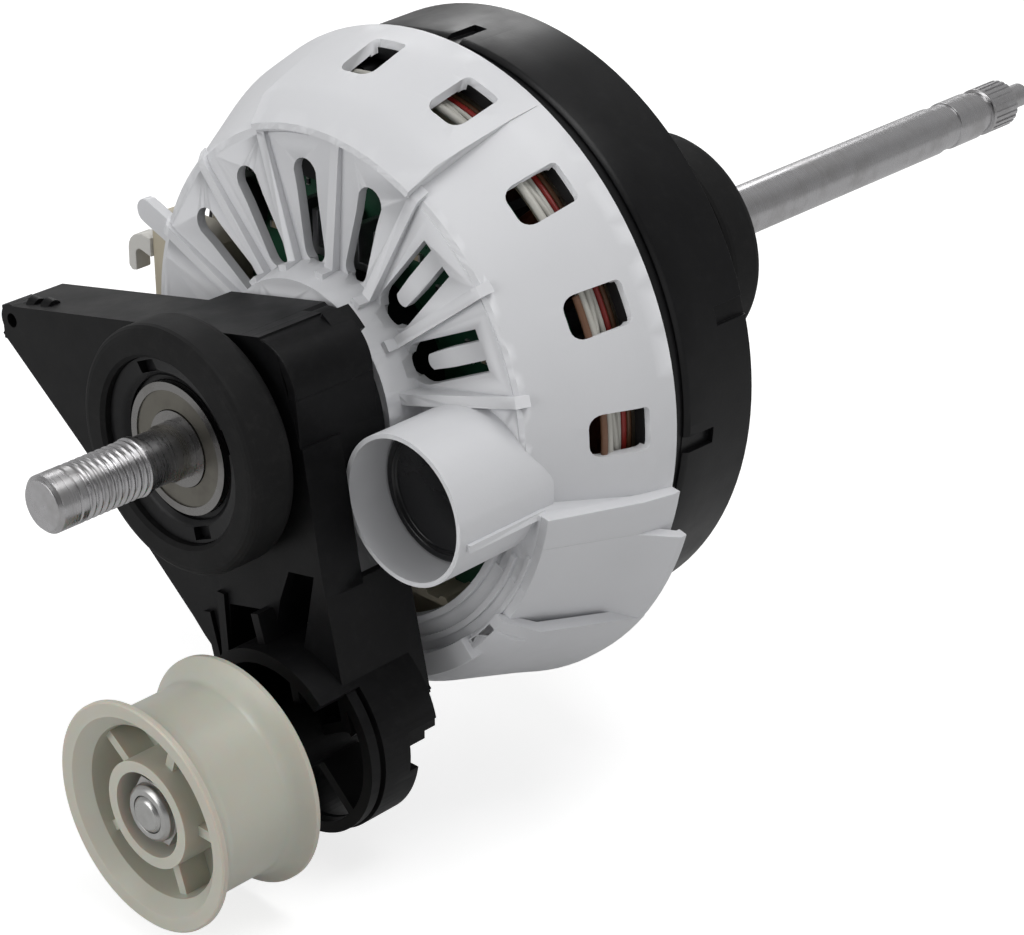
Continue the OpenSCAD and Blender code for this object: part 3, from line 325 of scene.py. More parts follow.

# %% [markdown]
# ## Metals
# Ground steel for the shaft, darker steel for the bearings, dull zinc for the fasteners, tin,
# laminations, aluminium and bronze. The bearings' rings and shields carry painted shade: their
# steel colours are darkened for the recess that they sit in. Each line gives the metal's colour,
# the colour of its stains and the roughness, and a higher roughness makes a duller metal.

# %% Metal finishes
ground_steel = machined("ground_steel", (0.52, 0.515, 0.525), (0.29, 0.28, 0.27), 0.24)
# Painted shade: the bearing rings' and shields' colours are darkened for the shade of their recess.
ring_steel_painted_shade = machined("ring_steel_painted_shade", (0.25, 0.245, 0.24), (0.15, 0.14, 0.13), 0.24)
shield_grey_painted_shade = machined("shield_grey_painted_shade", (0.17, 0.162, 0.14), (0.11, 0.10, 0.09), 0.36)
nut_zinc = machined("nut_zinc", (0.52, 0.52, 0.51), (0.32, 0.31, 0.29), 0.3)
tin_solder = machined("tin_solder", (0.62, 0.62, 0.61), (0.40, 0.39, 0.37), 0.3)
core_steel = machined("core_steel", (0.28, 0.28, 0.29), (0.18, 0.16, 0.14), 0.45)
sink_metal = machined("sink_metal", (0.52, 0.52, 0.53), (0.36, 0.36, 0.36), 0.35)
sleeve_bronze = machined("sleeve_bronze", (0.46, 0.37, 0.24), (0.28, 0.22, 0.15), 0.35)
print("all finishes:", len(bpy.data.materials))

# %% [markdown]
# ## Drawing and sweeping by hand
# Most moulded details here are one outline that is either pulled straight along the shaft or swept
# round it. The outline is drawn the way it is drawn by hand: a single vertex is extruded from
# point to point, and the chain is closed with a face. Lengths are in millimetres, and an angle is
# measured round the shaft from the X axis towards Z.

# %% Outline helpers
SHAFT = (0, 0)


def deselect():
    bpy.ops.object.select_all(action="DESELECT")


def work_on(obj):
    deselect()
    obj.select_set(True)
    bpy.context.view_layer.objects.active = obj


def apply_place(obj):
    work_on(obj)
    bpy.ops.object.transform_apply(location=True, rotation=True, scale=True)


def around(centre, reach, degrees):
    turn = math.radians(degrees)
    return centre[0] + reach * math.cos(turn), centre[1] + reach * math.sin(turn)


def outline(points):
    deselect()
    bpy.ops.mesh.primitive_plane_add(size=MM, location=Vector(points[0]) * MM)
    made = bpy.context.object
    apply_place(made)
    bpy.ops.object.mode_set(mode="EDIT")
    bpy.ops.mesh.select_all(action="SELECT")
    bpy.ops.mesh.merge(type="CENTER")
    for begin, end in zip(points, points[1:]):
        step = (Vector(end) - Vector(begin)) * MM
        bpy.ops.mesh.extrude_region_move(TRANSFORM_OT_translate={"value": step})
    bpy.ops.mesh.select_all(action="SELECT")
    bpy.ops.mesh.edge_face_add()
    return made


# %% [markdown]
# ## Two ways to give an outline its body
# A hook or a slot is pulled straight along the shaft. A skirt or a step is a profile of radius and
# depth that the Spin tool turns round the shaft, and its two ends are then closed with faces. Both
# leave the faces pointing outwards.

# %% Bodies from outlines
SPIN_STEP = 2.5
FEWEST_STEPS = 6


def closed_up():
    bpy.ops.mesh.select_all(action="SELECT")
    bpy.ops.mesh.normals_make_consistent(inside=False)
    bpy.ops.object.mode_set(mode="OBJECT")


def pulled(flat, low_y, high_y):
    made = outline([(x, low_y, z) for x, z in flat])
    step = (0, (high_y - low_y) * MM, 0)
    bpy.ops.mesh.extrude_region_move(TRANSFORM_OT_translate={"value": step})
    closed_up()
    return made


def swept(profile, start, end, centre=SHAFT):
    points = []
    for reach, y in profile:
        x, z = around(centre, reach, start)
        points.append((x, y, z))
    made = outline(points)
    bpy.ops.mesh.delete(type="ONLY_FACE")
    bpy.ops.mesh.select_all(action="SELECT")
    steps = max(FEWEST_STEPS, int(abs(end - start) / SPIN_STEP))
    bpy.ops.mesh.spin(steps=steps, angle=math.radians(end - start),
                      center=(centre[0] * MM, 0, centre[1] * MM), axis=(0, 1, 0))
    bpy.ops.mesh.select_all(action="SELECT")
    bpy.ops.mesh.fill_holes(sides=0)
    closed_up()
    return made


def slot_end(degrees, reach, width, turns):
    middle = around(SHAFT, reach, degrees)
    return [around(middle, width / 2, degrees + turn) for turn in turns]


def long_hole(degrees, near, far, width, low_y, high_y):
    ends = slot_end(degrees, far, width, range(-90, 91, 18))
    ends += slot_end(degrees, near, width, range(90, 271, 18))
    return pulled(ends, low_y, high_y)


def open_hole(degrees, near, far, width, low_y, high_y):
    ends = slot_end(degrees, far, width, (-90, 90))
    ends += slot_end(degrees, near, width, range(90, 271, 18))
    return pulled(ends, low_y, high_y)


# %% [markdown]
# ## Cutting, rounding and dressing
# A cutter is taken out of a piece by a Boolean modifier. A Bevel modifier rounds every edge that
# is sharper than a set angle, and a Weighted Normal modifier keeps the large faces flat to the eye.
# Each new piece then gets its finish and the body that it rides on.

# %% Finishing helpers
SMOOTH_ANGLE = math.radians(35)
EDGE_ANGLE = math.radians(32)
EDGE_SEGMENTS = 2


def carved(obj, cutters):
    for cutter in cutters:
        cut = obj.modifiers.new("cut", "BOOLEAN")
        cut.operation = "DIFFERENCE"
        cut.solver = "EXACT"
        cut.object = cutter
        work_on(obj)
        bpy.ops.object.modifier_apply(modifier=cut.name)
        bpy.data.objects.remove(cutter, do_unlink=True)
    return obj


def edged(obj, width):
    work_on(obj)
    bevel = obj.modifiers.new("soft_edge", "BEVEL")
    bevel.width = width * MM
    bevel.segments = EDGE_SEGMENTS
    bevel.limit_method = "ANGLE"
    bevel.angle_limit = EDGE_ANGLE
    bevel.use_clamp_overlap = True
    bpy.ops.object.modifier_apply(modifier=bevel.name)
    bpy.ops.object.shade_smooth_by_angle(angle=SMOOTH_ANGLE)
    even = obj.modifiers.new("even_normals", "WEIGHTED_NORMAL")
    even.mode = "FACE_AREA_WITH_ANGLE"
    even.keep_sharp = True
    bpy.ops.object.modifier_apply(modifier=even.name)
    return obj


def dressed(obj, name, finish, body):
    obj.name = name
    obj.data.name = name
    obj.data.materials.clear()
    obj.data.materials.append(finish)
    work_on(obj)
    bpy.ops.object.shade_smooth_by_angle(angle=SMOOTH_ANGLE)
    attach(obj, body)
    return obj


# %% [markdown]
# ## What the cover loses
# The mould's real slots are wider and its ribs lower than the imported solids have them, and the
# opening under the tube reaches further. Each change is a cutter, drawn as above. A slot with a
# tongue is an open slot from which the tongue's own outline has been cut.

# %% Cutters of the cover
FLOOR_Y = 42.1
PLAIN_SLOTS, TONGUE_SLOTS = (74, 98, 122, 146), (26, 50)
RIB_LIMIT = [(27, 30), (54.6, 30), (54.6, FLOOR_Y - 1.0), (27, FLOOR_Y - 1.9)]
OPENING = [(38, 38), (51.4, 38), (51.4, 47), (38, 47)]
COVER_CUTS = [long_hole(angle, 29.2, 45.4, 6.0, FLOOR_Y - 2, FLOOR_Y + 4) for angle in PLAIN_SLOTS]
for angle in TONGUE_SLOTS:
    tongue = open_hole(angle, 33.8, 60, 3.9, FLOOR_Y - 4, FLOOR_Y + 6)
    slot = open_hole(angle, 30.2, 48.4, 8.9, FLOOR_Y - 2, FLOOR_Y + 4)
    COVER_CUTS.append(carved(slot, [tongue]))
COVER_CUTS.append(swept(RIB_LIMIT, 17, 165))
round_tube = [around((42, -6.6), 17.2, angle) for angle in range(0, 360, 10)]
tube = pulled(round_tube, FLOOR_Y - 6, FLOOR_Y + 8)
COVER_CUTS.append(carved(swept(OPENING, -75, -26.5), [tube]))
print("cutters of the cover:", len(COVER_CUTS))

# %% [markdown]
# ## What the lever loses
# The lever's hub stays below its sloping top wall, the fin beside the boss ends early, and the
# boss is open behind. Three plain blocks, pulled along the shaft, take these off.

# %% Cutters of the lever
ABOVE_TOP_WALL = [(-46, 12.3), (13.5, 25.45), (13.5, 31), (-46, 31)]
FIN_TIP = [(40.2, -56), (47, -56), (47, -65), (40.2, -65)]
BEHIND_BOSS = [(0, -62.4), (50, -62.4), (50, -92), (0, -92)]
LEVER_BACK = 34
LEVER_CUTS = [
    pulled(ABOVE_TOP_WALL, -8, LEVER_BACK),
    pulled(FIN_TIP, 20, LEVER_BACK),
    pulled(BEHIND_BOSS, 22.4, LEVER_BACK),
]
CUTS = {"front_cover": COVER_CUTS, "tension_lever": LEVER_CUTS}
print("cutters of the lever:", len(LEVER_CUTS))

# %% [markdown]
# ## Softened edges
# A CAD edge is perfectly sharp and catches no light, and a real moulded or machined edge always
# has a small radius. Each visible CAD piece is copied, its loose triangles are merged into one
# skin, flat fans of triangles are dissolved, and a Bevel modifier rounds what is left. The copy
# then stands for the CAD piece.

# %% Edge softener
MERGE_WITHIN = 0.000004
FLAT_WITHIN = math.radians(0.25)


def softened(name, material, width):
    cad = nodes[name]
    made = cad.copy()
    made.data = cad.data.copy()
    for key in [k for k in made.keys() if k.startswith("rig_")]:
        del made[key]
    made.parent = None
    made.name = name + "_soft"
    bpy.context.scene.collection.objects.link(made)
    work_on(made)
    bpy.ops.object.mode_set(mode="EDIT")
    bpy.ops.mesh.select_all(action="SELECT")
    bpy.ops.mesh.remove_doubles(threshold=MERGE_WITHIN)
    bpy.ops.object.mode_set(mode="OBJECT")
    carved(made, CUTS.get(name, []))
    work_on(made)
    bpy.ops.object.mode_set(mode="EDIT")
    bpy.ops.mesh.select_all(action="SELECT")
    bpy.ops.mesh.dissolve_limited(angle_limit=FLAT_WITHIN)
    bpy.ops.object.mode_set(mode="OBJECT")
    edged(made, width)
    made.data.materials.clear()
    made.data.materials.append(material)
    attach(made, cad["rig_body"])
    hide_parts(name)
    return made


# %% [markdown]
# ## Which piece gets which finish
# Pieces that show get softened edges, and the number beside the finish is the edge's width in
# millimetres. A moulded shell is rounder than a stamped washer or a ground shaft.

# %% Softened pieces
SOFTENED = {
    "front_cover": (cover_white, 0.35),
    "rear_housing": (shell_black, 0.35),
    "neck_carrier": (shell_black, 0.3),
    "front_ring_holder": (shell_black, 0.25),
    "rear_ring_holder": (shell_black, 0.25),
    "tension_lever": (lever_black, 0.4),
    "idler_roller": (roller_nylon, 0.3),
    "roller_nut": (nut_zinc, 0.35),
    "roller_bolt": (nut_zinc, 0.3),
    "connector_block": (bobbin_beige, 0.3),
    "terminal_tray": (bobbin_beige, 0.25),
    "front_insulator": (bobbin_beige, 0.25),
    "heat_sink": (sink_metal, 0.2),
    "board_chips": (dark_parts, 0.2),
    "shaft": (ground_steel, 0.12),
    "capacitor": (can_black, 0.9),
    "roller_washer": (nut_zinc, 0.15),
    "board_chokes": (dark_parts, 0.25),
}
soft = {name: softened(name, finish, width) for name, (finish, width) in SOFTENED.items()}
print("triangles in the softened pieces:",
      {name: sum(len(p.vertices) - 2 for p in obj.data.polygons) for name, obj in soft.items()})

# %% [markdown]
# ## Even light on the turned walls
# The cover's wall is a cone that eases into a steeper rim, and the tube is round. Cut windows leave
# long thin triangles in such a wall, which shade as faint stars. The wall's true direction is known
# at every point, so each corner that lies on the cone or the tube is given that direction instead.
# The mesh keeps its shape, and only the way it takes the light changes.

# %% True directions on the cover
SHOULDER = [(56.0, 43.9), (65.9, 61.9), (66.7, 63.5), (68.7, 71.5)]
CONE_LEAN, LESS_AT_RIM = 28.8, 14.8
KNEE_START, KNEE_LENGTH = 60, 7
TUBE_CENTRE = (41.988, -6.575)
TUBE_RADII = (15.95, 14.95)
ON_TUBE, ON_CONE = 0.08, 0.17
ALIKE = 0.9


def tube_facing(point):
    across = Vector((point.x / MM - TUBE_CENTRE[0], 0, point.z / MM - TUBE_CENTRE[1]))
    for side, radius in zip((1, -1), TUBE_RADII):
        if abs(across.length - radius) < ON_TUBE:
            yield across.normalized() * side


def cone_facing(point):
    radius, depth = math.hypot(point.x, point.z) / MM, point.y / MM
    for (r1, y1), (r2, y2) in zip(SHOULDER, SHOULDER[1:]):
        wall = r1 + (r2 - r1) * (depth - y1) / (y2 - y1)
        if y1 < depth <= y2 and abs(radius - wall) < ON_CONE:
            share = min(max((depth - KNEE_START) / KNEE_LENGTH, 0), 1)
            eased = share * share * (3 - 2 * share)
            lean = math.radians(CONE_LEAN - LESS_AT_RIM * eased)
            outwards = Vector((point.x, 0, point.z)).normalized()
            yield outwards * math.cos(lean) - Vector((0, math.sin(lean), 0))


cover = soft["front_cover"].data
corners = [corner.vector.copy() for corner in cover.corner_normals]
turned = 0
for polygon in cover.polygons:
    for loop in polygon.loop_indices:
        point = cover.vertices[cover.loops[loop].vertex_index].co
        facings = [*tube_facing(point), *cone_facing(point)]
        best = max(facings, key=polygon.normal.dot, default=None)
        if best is not None and best.dot(polygon.normal) > ALIKE:
            corners[loop] = best
            turned += 1
cover.normals_split_custom_set(corners)
print("corners on the cover's turned walls:", turned, "of", len(corners))

# %% [markdown]
# ## Pieces that keep their CAD mesh
# Pieces deep inside keep their CAD mesh and only get the material, because nothing would show the
# difference. The phase wires are one node with three rows of wire, and each row gets its own
# insulation colour by its place along the shaft.

# %% Finishes on the kept pieces
KEPT = {
    "front_rubber_ring": ring_rubber, "rear_rubber_ring": ring_rubber, "stator_core": core_steel,
    "rear_insulator": bobbin_beige, "windings": coil_enamel, "phase_wires": wire_red,
    "circuit_board": board_green, "carrier_screws": nut_zinc, "front_bearing_outer": ring_steel_painted_shade,
    "front_bearing_shields": shield_grey_painted_shade, "rear_bearing_outer": ring_steel_painted_shade,
    "rear_bearing_shields": shield_grey_painted_shade, "wave_washer": ring_steel_painted_shade, "rotor_core": core_steel,
    "rotor_magnets": magnet_grey, "rotor_end_rings": sink_metal, "front_bearing_inner": ring_steel_painted_shade,
    "rear_bearing_inner": ring_steel_painted_shade, "front_bearing_balls": ring_steel_painted_shade,
    "rear_bearing_balls": ring_steel_painted_shade, "roller_sleeve": sleeve_bronze,
}
RED, GREY, BROWN = 0, 1, 2
GREY_ENDS, RED_ENDS = 63.4 * MM, 65 * MM
for name, finish in KEPT.items():
    nodes[name].data.materials.clear()
    nodes[name].data.materials.append(finish)
    for polygon in nodes[name].data.polygons:
        polygon.material_index = 0
wires = nodes["phase_wires"].data
for finish in (wire_grey, wire_brown):
    wires.materials.append(finish)
for polygon in wires.polygons:
    place = polygon.center.y
    polygon.material_index = GREY if place < GREY_ENDS else RED if place < RED_ENDS else BROWN
left_over = set(nodes) - set(SOFTENED) - set(KEPT) - {"cord_hook"}
assert not left_over, left_over
print("pieces with their CAD mesh:", len(KEPT))

# %% [markdown]
# ## The skirt and the opening's steps
# Below the tube the cover widens into a skirt: a flat facet, then a bulge, both ending in one flare
# that runs on without a gap. Stepped arcs frame the opening, and a small ear stands out at the left
# edge. Each profile lists radius and depth, and the sweeps go round the shaft.

# %% Moulded details of the cover
COVER_BODY = nodes["front_cover"]["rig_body"]
MOULDED_EDGE = 0.3
FACET = [(60, 41.9), (62.3, 41.8), (69.35, 62.4), (74.9, 69.7), (74.9, 71.5), (72.7, 71.5),
         (72.7, 70.5), (66.6, 63.9)]
FACET_END = [(60, 41.9), (62.3, 41.8), (69.35, 62.4), (70.9, 69.6), (70.9, 71.3), (68.7, 71.3),
             (66.6, 63.9)]
BULGE = [(60, 40.1), (62.2, 40.1), (65.8, 42.7), (68, 47.5), (70.7, 63.5), (74.8, 69.6),
         (74.8, 71.4), (72.6, 71.4), (72.6, 70.4), (68.1, 64.5), (65.6, 48.1)]


def band(inner, outer, low_y, high_y):
    return [(inner, low_y), (outer, low_y), (outer, high_y), (inner, high_y)]


DETAILS = {
    "skirt_facet": swept(FACET, -41, -15.5),
    "skirt_bulge": swept(BULGE, -77, -38.4),
    "skirt_facet_end": swept(FACET_END, -15.6, -8.8),
    "skirt_floor": swept(band(51.6, 62, 41.7, 43.9), -76.2, -27),
    "opening_step_inner": swept(band(51.4, 52.9, 40.4, 43.6), -76, -24),
    "opening_step_middle": swept(band(55.9, 57.3, 40.8, 43.1), -76, -21),
    "opening_step_outer": swept(band(59.2, 60.4, 41.2, 43.1), -75.4, -19),
    "skirt_lobe": swept(band(59.1, 64, 38.5, 42.9), -63, -47),
    "edge_ear": long_hole(160, 55, 63, 5.6, 43, 45.6),
}
for name, piece in DETAILS.items():
    edged(piece, MOULDED_EDGE)
    dressed(piece, name, cover_white, COVER_BODY)
print("moulded details:", len(DETAILS))

# %% [markdown]
# ## The wire hook
# At the cover's left edge a small hook keeps the machine's wires in place. It is flat, with a round
# outer bend and a smaller round inside it, so one outline follows both bends and is pulled along
# the shaft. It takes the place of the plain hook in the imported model.

# %% Hook at the left edge
HOOK_X = -62.1
hook_points = [(HOOK_X, 8.9), (HOOK_X, 13.3), (HOOK_X - 3, 13.6)]
hook_points += [around((HOOK_X - 3.4, 9), 4.4, angle) for angle in range(95, 176, 16)]
hook_points += [(HOOK_X - 7.9, 5), (HOOK_X - 6.8, 4), (HOOK_X - 5.2, 4.4)]
hook_points += [around((HOOK_X - 3.6, 8.1), 1.7, angle) for angle in range(165, 94, -17)]
hook = edged(pulled(hook_points, 46.2, 50.4), 0.35)
dressed(hook, "wire_hook", pale_plastic, COVER_BODY)
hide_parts("cord_hook")
print("points round the hook:", len(hook_points))

# %% [markdown]
# ## The strip in the opening
# Under the tube a beige strip of the terminal tray crosses the opening. It is a thin plate with
# three small teeth on its upper edge, drawn as one outline and pulled along the shaft until it
# meets the board.

# %% Beige strip
STRIP_Z = -42.6
STRIP_LEFT, STRIP_RIGHT, STRIP_THICK = 8, 34, 1.3
TOOTH_STARTS = (14, 20, 26)
strip_points = [(STRIP_LEFT, STRIP_Z)]
for start in TOOTH_STARTS:
    strip_points += [(start, STRIP_Z), (start + 0.6, STRIP_Z + 1), (start + 2.2, STRIP_Z + 1),
                     (start + 2.8, STRIP_Z)]
strip_points += [(STRIP_RIGHT, STRIP_Z), (STRIP_RIGHT, STRIP_Z - STRIP_THICK),
                 (STRIP_LEFT, STRIP_Z - STRIP_THICK)]
strip = edged(pulled(strip_points, 46.4, 54.95), 0.15)
dressed(strip, "terminal_strip", bobbin_beige, COVER_BODY)
print("teeth on the strip:", len(TOOTH_STARTS))

# %% [markdown]
# ## The lever's rounded corner
# The lever's top wall runs over into its right wall in one round corner, which hides the hub. It is
# one band, swept round the corner's own centre, with a short straight piece below it.

# %% Corner of the lever
LEVER_BODY = nodes["tension_lever"]["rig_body"]
CORNER = (14.4, 14.95)
SIDE_WALL = [(22.6, 15.2), (24.85, 15.2), (25.9, 3.5), (23.6, 3.5)]
corner = edged(swept(band(8.2, 10.45, 9.7, 30.5), 104, 0, CORNER), MOULDED_EDGE)
dressed(corner, "lever_corner", lever_black, LEVER_BODY)
straight = edged(pulled(SIDE_WALL, 9.75, 30.5), MOULDED_EDGE)
dressed(straight, "lever_side", lever_black, LEVER_BODY)
print("faces in the lever's corner:", len(corner.data.polygons))

# %% [markdown]
# ## Making a lead
# Insulated leads run round the motor behind the side windows. Each one is a small circle that the
# Spin tool sweeps about the shaft's axis, and its ends are closed with faces. A lead that is tilted
# a little crosses its neighbours, as hand-laid wires do.

# %% Lead maker
STATOR_BODY = nodes["windings"]["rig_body"]
LEAD_SIDES = 14
LEAD_STEP = 3


def lead(name, finish, ring_r, height, thick, start, end, tilt):
    begin = math.radians(start)
    place = (ring_r * MM * math.cos(begin), height * MM, ring_r * MM * math.sin(begin))
    bpy.ops.mesh.primitive_circle_add(vertices=LEAD_SIDES, radius=thick / 2 * MM, location=place,
                                      rotation=(0, -begin, 0))
    made = bpy.context.object
    apply_place(made)
    bpy.ops.object.mode_set(mode="EDIT")
    bpy.ops.mesh.select_all(action="SELECT")
    sweep = math.radians(end - start)
    steps = max(8, int((end - start) / LEAD_STEP))
    bpy.ops.mesh.spin(steps=steps, angle=sweep, center=(0, 0, 0), axis=(0, 1, 0))
    bpy.ops.mesh.select_all(action="SELECT")
    bpy.ops.mesh.fill_holes(sides=0)
    bpy.ops.mesh.normals_make_consistent(inside=False)
    if tilt:
        middle = begin + sweep / 2
        pivot = (ring_r * MM * math.cos(middle), height * MM, ring_r * MM * math.sin(middle))
        side = "X" if abs(math.cos(middle)) > abs(math.sin(middle)) else "Z"
        bpy.ops.transform.rotate(value=math.radians(tilt), orient_axis=side,
                                 center_override=pivot)
    bpy.ops.object.mode_set(mode="OBJECT")
    return dressed(made, name, finish, STATOR_BODY)


# %% [markdown]
# ## The leads behind the windows
# Two long leads pass every window, and four short pale ones lie across them, each tilted the other
# way, so that no two windows show the same picture. A row gives the ring's radius, the place along
# the shaft, the thickness, the first and the last angle, and the tilt.

# %% Leads behind the windows
LEADS = [
    ("lead_pale_long", wire_grey, 61.7, 59.2, 1.7, -12, 112, 0),
    ("lead_pale_cross_right", wire_grey, 61.3, 61.0, 1.6, 14, 40, 8),
    ("lead_pale_cross_upper", wire_grey, 61.3, 61.0, 1.6, 38, 62, -8),
    ("lead_pale_cross_low", wire_grey, 61.3, 61.0, 1.6, -8, 14, -7),
    ("lead_pale_top", wire_grey, 61.3, 60.6, 1.6, 62, 84, 7),
    ("lead_brown", wire_brown, 61.9, 57.6, 1.5, -10, 30, 0),
]
for values in LEADS:
    lead(*values)
print("leads:", len(LEADS))

# %% [markdown]
# ## Free room on the board
# Through the floor slots the green board shows dozens of tiny parts. They have to keep clear of the
# larger CAD parts, so the box of every face of those parts, seen along the shaft, is noted first.

# %% Free room
BOARD_FRONT = min(v.co.y for v in nodes["circuit_board"].data.vertices)
LARGE_PARTS = ("board_chips", "heat_sink", "board_chokes", "terminal_tray", "connector_block",
               "capacitor")
busy = []
for name in LARGE_PARTS:
    mesh = nodes[name].data
    for polygon in mesh.polygons:
        xs = [mesh.vertices[i].co.x / MM for i in polygon.vertices]
        zs = [mesh.vertices[i].co.z / MM for i in polygon.vertices]
        busy.append((min(xs), max(xs), min(zs), max(zs)))
print("boxes to keep clear of:", len(busy))


def is_free(x, z, margin):
    return all(x < left - margin or x > right + margin or z < bottom - margin or z > top + margin
               for left, right, bottom, top in busy)


# %% [markdown]
# ## Tiny parts
# A chip resistor starts as a cube that is scaled to size and bevelled, and its two tinned ends are
# short bevelled blocks. Each block sinks a little into the board, as a soldered part does, and the
# copies are joined into one piece for each finish.

# %% Block maker
SINK = 0.05


def block(x, z, length, width, height, turn, edge):
    place = (x * MM, BOARD_FRONT - (height / 2 - SINK) * MM, z * MM)
    bpy.ops.mesh.primitive_cube_add(size=1, location=place, rotation=(0, turn, 0))
    made = bpy.context.object
    made.scale = (length * MM, height * MM, width * MM)
    apply_place(made)
    bpy.ops.object.mode_set(mode="EDIT")
    bpy.ops.mesh.select_all(action="SELECT")
    bpy.ops.mesh.bevel(offset=edge * MM, segments=1, affect="EDGES")
    bpy.ops.object.mode_set(mode="OBJECT")
    return made


def joined(parts, name, finish):
    deselect()
    for part in parts:
        part.select_set(True)
    bpy.context.view_layer.objects.active = parts[0]
    bpy.ops.object.join()
    return dressed(bpy.context.object, name, finish, STATOR_BODY)


# %% [markdown]
# ## Scattering the chips
# The chips lie where a fixed random order puts them, in three common sizes and square to the board.
# A place that is too close to another part is passed over. About a third are pale capacitors and
# the rest dark resistors.

# %% Chips and their tinned ends
CHIP_COUNT = 64
CHIP_SIZES = ((2.0, 1.25, 0.55), (1.6, 0.8, 0.5), (3.0, 1.6, 0.9))
CHIP_EDGE = 0.06
CHIP_ROOM, CHIP_HALF = 1.9, 1.2
PALE_SHARE = 0.35
chance = random.Random(11)
bodies, pale_bodies, ends = [], [], []
while len(bodies) + len(pale_bodies) < CHIP_COUNT:
    angle = math.radians(chance.uniform(8, 166))
    reach = chance.uniform(27, 55)
    x, z = reach * math.cos(angle), reach * math.sin(angle)
    if not is_free(x, z, CHIP_ROOM):
        continue
    busy.append((x - CHIP_HALF, x + CHIP_HALF, z - CHIP_HALF, z + CHIP_HALF))
    turn = chance.choice((0, math.pi / 2))
    length, width, height = chance.choice(CHIP_SIZES)
    target = pale_bodies if chance.random() < PALE_SHARE else bodies
    target.append(block(x, z, length * 0.72, width * 0.96, height, turn, CHIP_EDGE))
    for side in (-1, 1):
        shift = side * length * 0.42
        end_x, end_z = x + shift * math.cos(turn), z - shift * math.sin(turn)
        ends.append(block(end_x, end_z, length * 0.2, width, height + 0.04, turn, CHIP_EDGE))
print("tiny chips:", len(bodies), "dark and", len(pale_bodies), "pale")
joined(bodies, "chip_resistors", dark_parts)
joined(pale_bodies, "chip_capacitors", chip_ceramic)
joined(ends, "chip_ends", tin_solder)

# %% [markdown]
# ## Floor
# A product photograph on white: the floor glows white for the camera and through clear things, and
# much less in reflections, and its plain grey still takes the object's soft shadow. It lies a
# little below the resting object, because the idler hangs 3.3 mm lower at the end of its swing.

# %% Floor
FLOOR_GLOW = 0.72
GLOW_IN_REFLECTIONS = 0.12
FLOOR_GREY = (0.55, 0.55, 0.55, 1)
FLOOR_SIZE = 9
SWING_ROOM = 0.0038
WHITE = (1, 1, 1, 1)


def direct_view(tree):
    rays = node(tree, "ShaderNodeLightPath").outputs
    return rays["Is Glossy Ray"], sums(tree, "MAXIMUM", rays["Is Camera Ray"],
                                       rays["Is Transmission Ray"])


floor_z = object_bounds()[0][2] - SWING_ROOM
deselect()
bpy.ops.mesh.primitive_plane_add(size=1, location=(0, 0.1, floor_z))
floor = bpy.context.object
floor.name = "floor"
bpy.ops.object.mode_set(mode="EDIT")
bpy.ops.mesh.select_all(action="SELECT")
bpy.ops.transform.resize(value=(FLOOR_SIZE, FLOOR_SIZE, 1))
bpy.ops.object.mode_set(mode="OBJECT")
floor_material, tree, principled = shader("floor_white", Roughness=0.9, Specular_IOR_Level=0.0)
principled.inputs["Base Color"].default_value = FLOOR_GREY
glow = node(tree, "ShaderNodeEmission")
glow.inputs["Color"].default_value = WHITE
mirrored, seen = direct_view(tree)
shown = sums(tree, "MAXIMUM", seen, sums(tree, "MULTIPLY", mirrored, GLOW_IN_REFLECTIONS))
tree.links.new(sums(tree, "MULTIPLY", shown, FLOOR_GLOW), glow.inputs["Strength"])
both = node(tree, "ShaderNodeAddShader")
tree.links.new(principled.outputs["BSDF"], both.inputs[0])
tree.links.new(glow.outputs["Emission"], both.inputs[1])
tree.links.new(both.outputs["Shader"], tree.nodes["Material Output"].inputs["Surface"])
floor.data.materials.append(floor_material)
print("floor at", round(floor_z / MM, 1), "mm")

# %% [markdown]
# ## World
# The world has three faces. The camera sees plain white, dull surfaces are lit by a soft grey, and
# shiny ones mirror a dimmer room that is brighter behind the object than behind the camera. That
# keeps the black plastic black and gives the steel its long highlights.

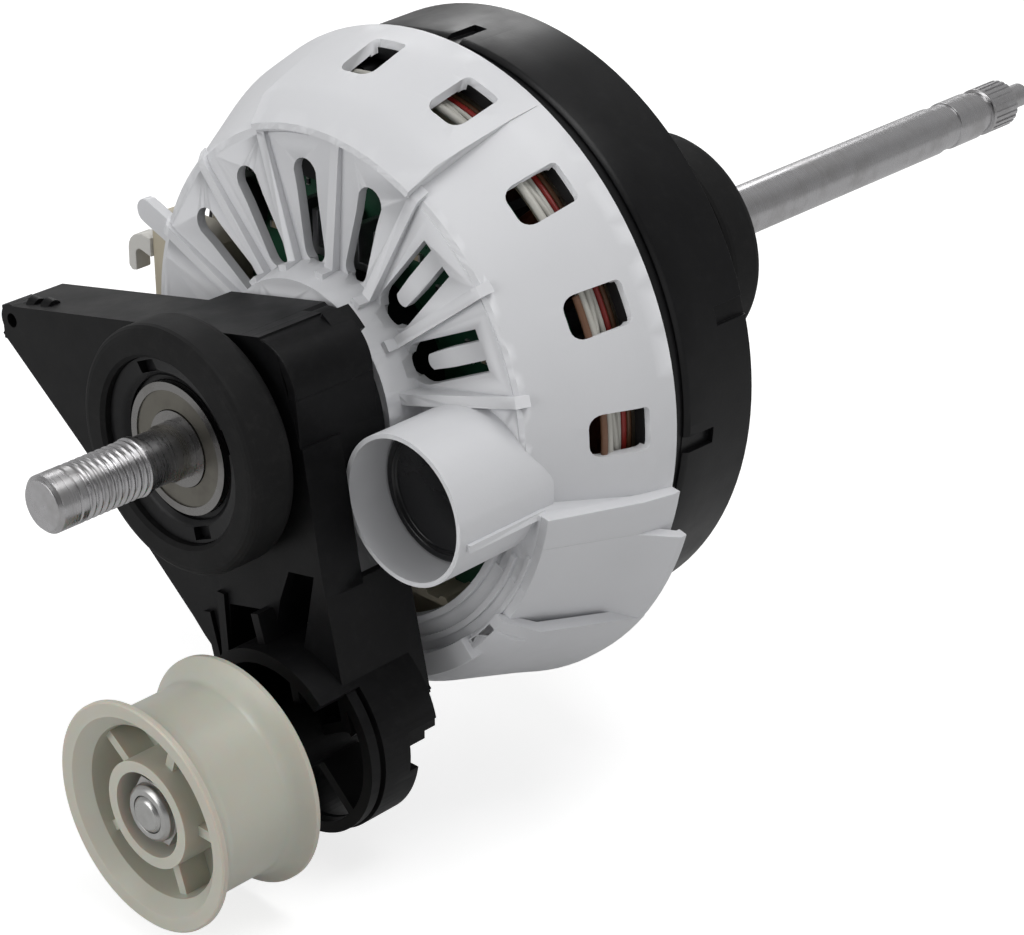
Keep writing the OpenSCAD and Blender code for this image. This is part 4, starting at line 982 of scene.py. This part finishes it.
# %% World
ROOM_LIGHT = 0.42
world = bpy.data.worlds.new("studio")
bpy.context.scene.world = world
world.use_nodes = True
tree = world.node_tree
background = tree.nodes["Background"]
white_view = node(tree, "ShaderNodeBackground")
room_view = node(tree, "ShaderNodeBackground")
for view, strength in ((background, ROOM_LIGHT), (white_view, 1.0), (room_view, 1.0)):
    view.inputs["Color"].default_value = WHITE
    view.inputs["Strength"].default_value = strength
direction = node(tree, "ShaderNodeTexCoord").outputs["Generated"]
parts = node(tree, "ShaderNodeSeparateXYZ")
tree.links.new(direction, parts.inputs["Vector"])
behind = node(tree, "ShaderNodeVectorMath", operation="DOT_PRODUCT")
tree.links.new(direction, behind.inputs[0])
behind.inputs[1].default_value = (-math.sin(AZIMUTH), math.cos(AZIMUTH), 0)
by_height = spread(tree, parts.outputs["Z"], -0.1, 0.4, 0.6, 0.42)
by_side = spread(tree, behind.outputs["Value"], -0.5, 0.5, 0.25, 1.0)
tree.links.new(sums(tree, "MULTIPLY", by_height, by_side), room_view.inputs["Strength"])
mirrored, seen = direct_view(tree)
lit = node(tree, "ShaderNodeMixShader")
chosen = node(tree, "ShaderNodeMixShader")
for mix, factor, first, second in (
    (lit, mirrored, background.outputs["Background"], room_view.outputs["Background"]),
    (chosen, seen, lit.outputs["Shader"], white_view.outputs["Background"]),
):
    for place, value in enumerate((factor, first, second)):
        tree.links.new(value, mix.inputs[place])
tree.links.new(chosen.outputs["Shader"], tree.nodes["World Output"].inputs["Surface"])
print("world nodes:", len(tree.nodes))

# %% [markdown]
# ## Lamps
# Four round soft lamps: a key above, a broad one in front that opens up the faces towards the
# camera, a weak fill from the right, and a rim light from behind on the left. Their power is kept
# low, so that the white cover never burns out.

# %% Lamps
LIT_POINT = Vector((0, 0.06, 0))
LAMPS = [
    ("key", (0.25, 0.2, 1.0), 0.6, 4.4),
    ("front", (-0.35, -1.1, 0.35), 0.8, 5),
    ("fill", (0.95, 0.0, 0.3), 0.7, 0.9),
    ("rim", (-0.8, 0.9, 0.62), 0.5, 2.5),
]
for name, place, size, watts in LAMPS:
    lamp_data = bpy.data.lights.new(name, "AREA")
    lamp_data.shape = "DISK"
    lamp_data.size = size
    lamp_data.energy = watts
    lamp = bpy.data.objects.new(name, lamp_data)
    bpy.context.scene.collection.objects.link(lamp)
    lamp.location = place
    lamp.rotation_euler = (LIT_POINT - Vector(place)).to_track_quat("-Z", "Y").to_euler()
print("lamps:", len(LAMPS))
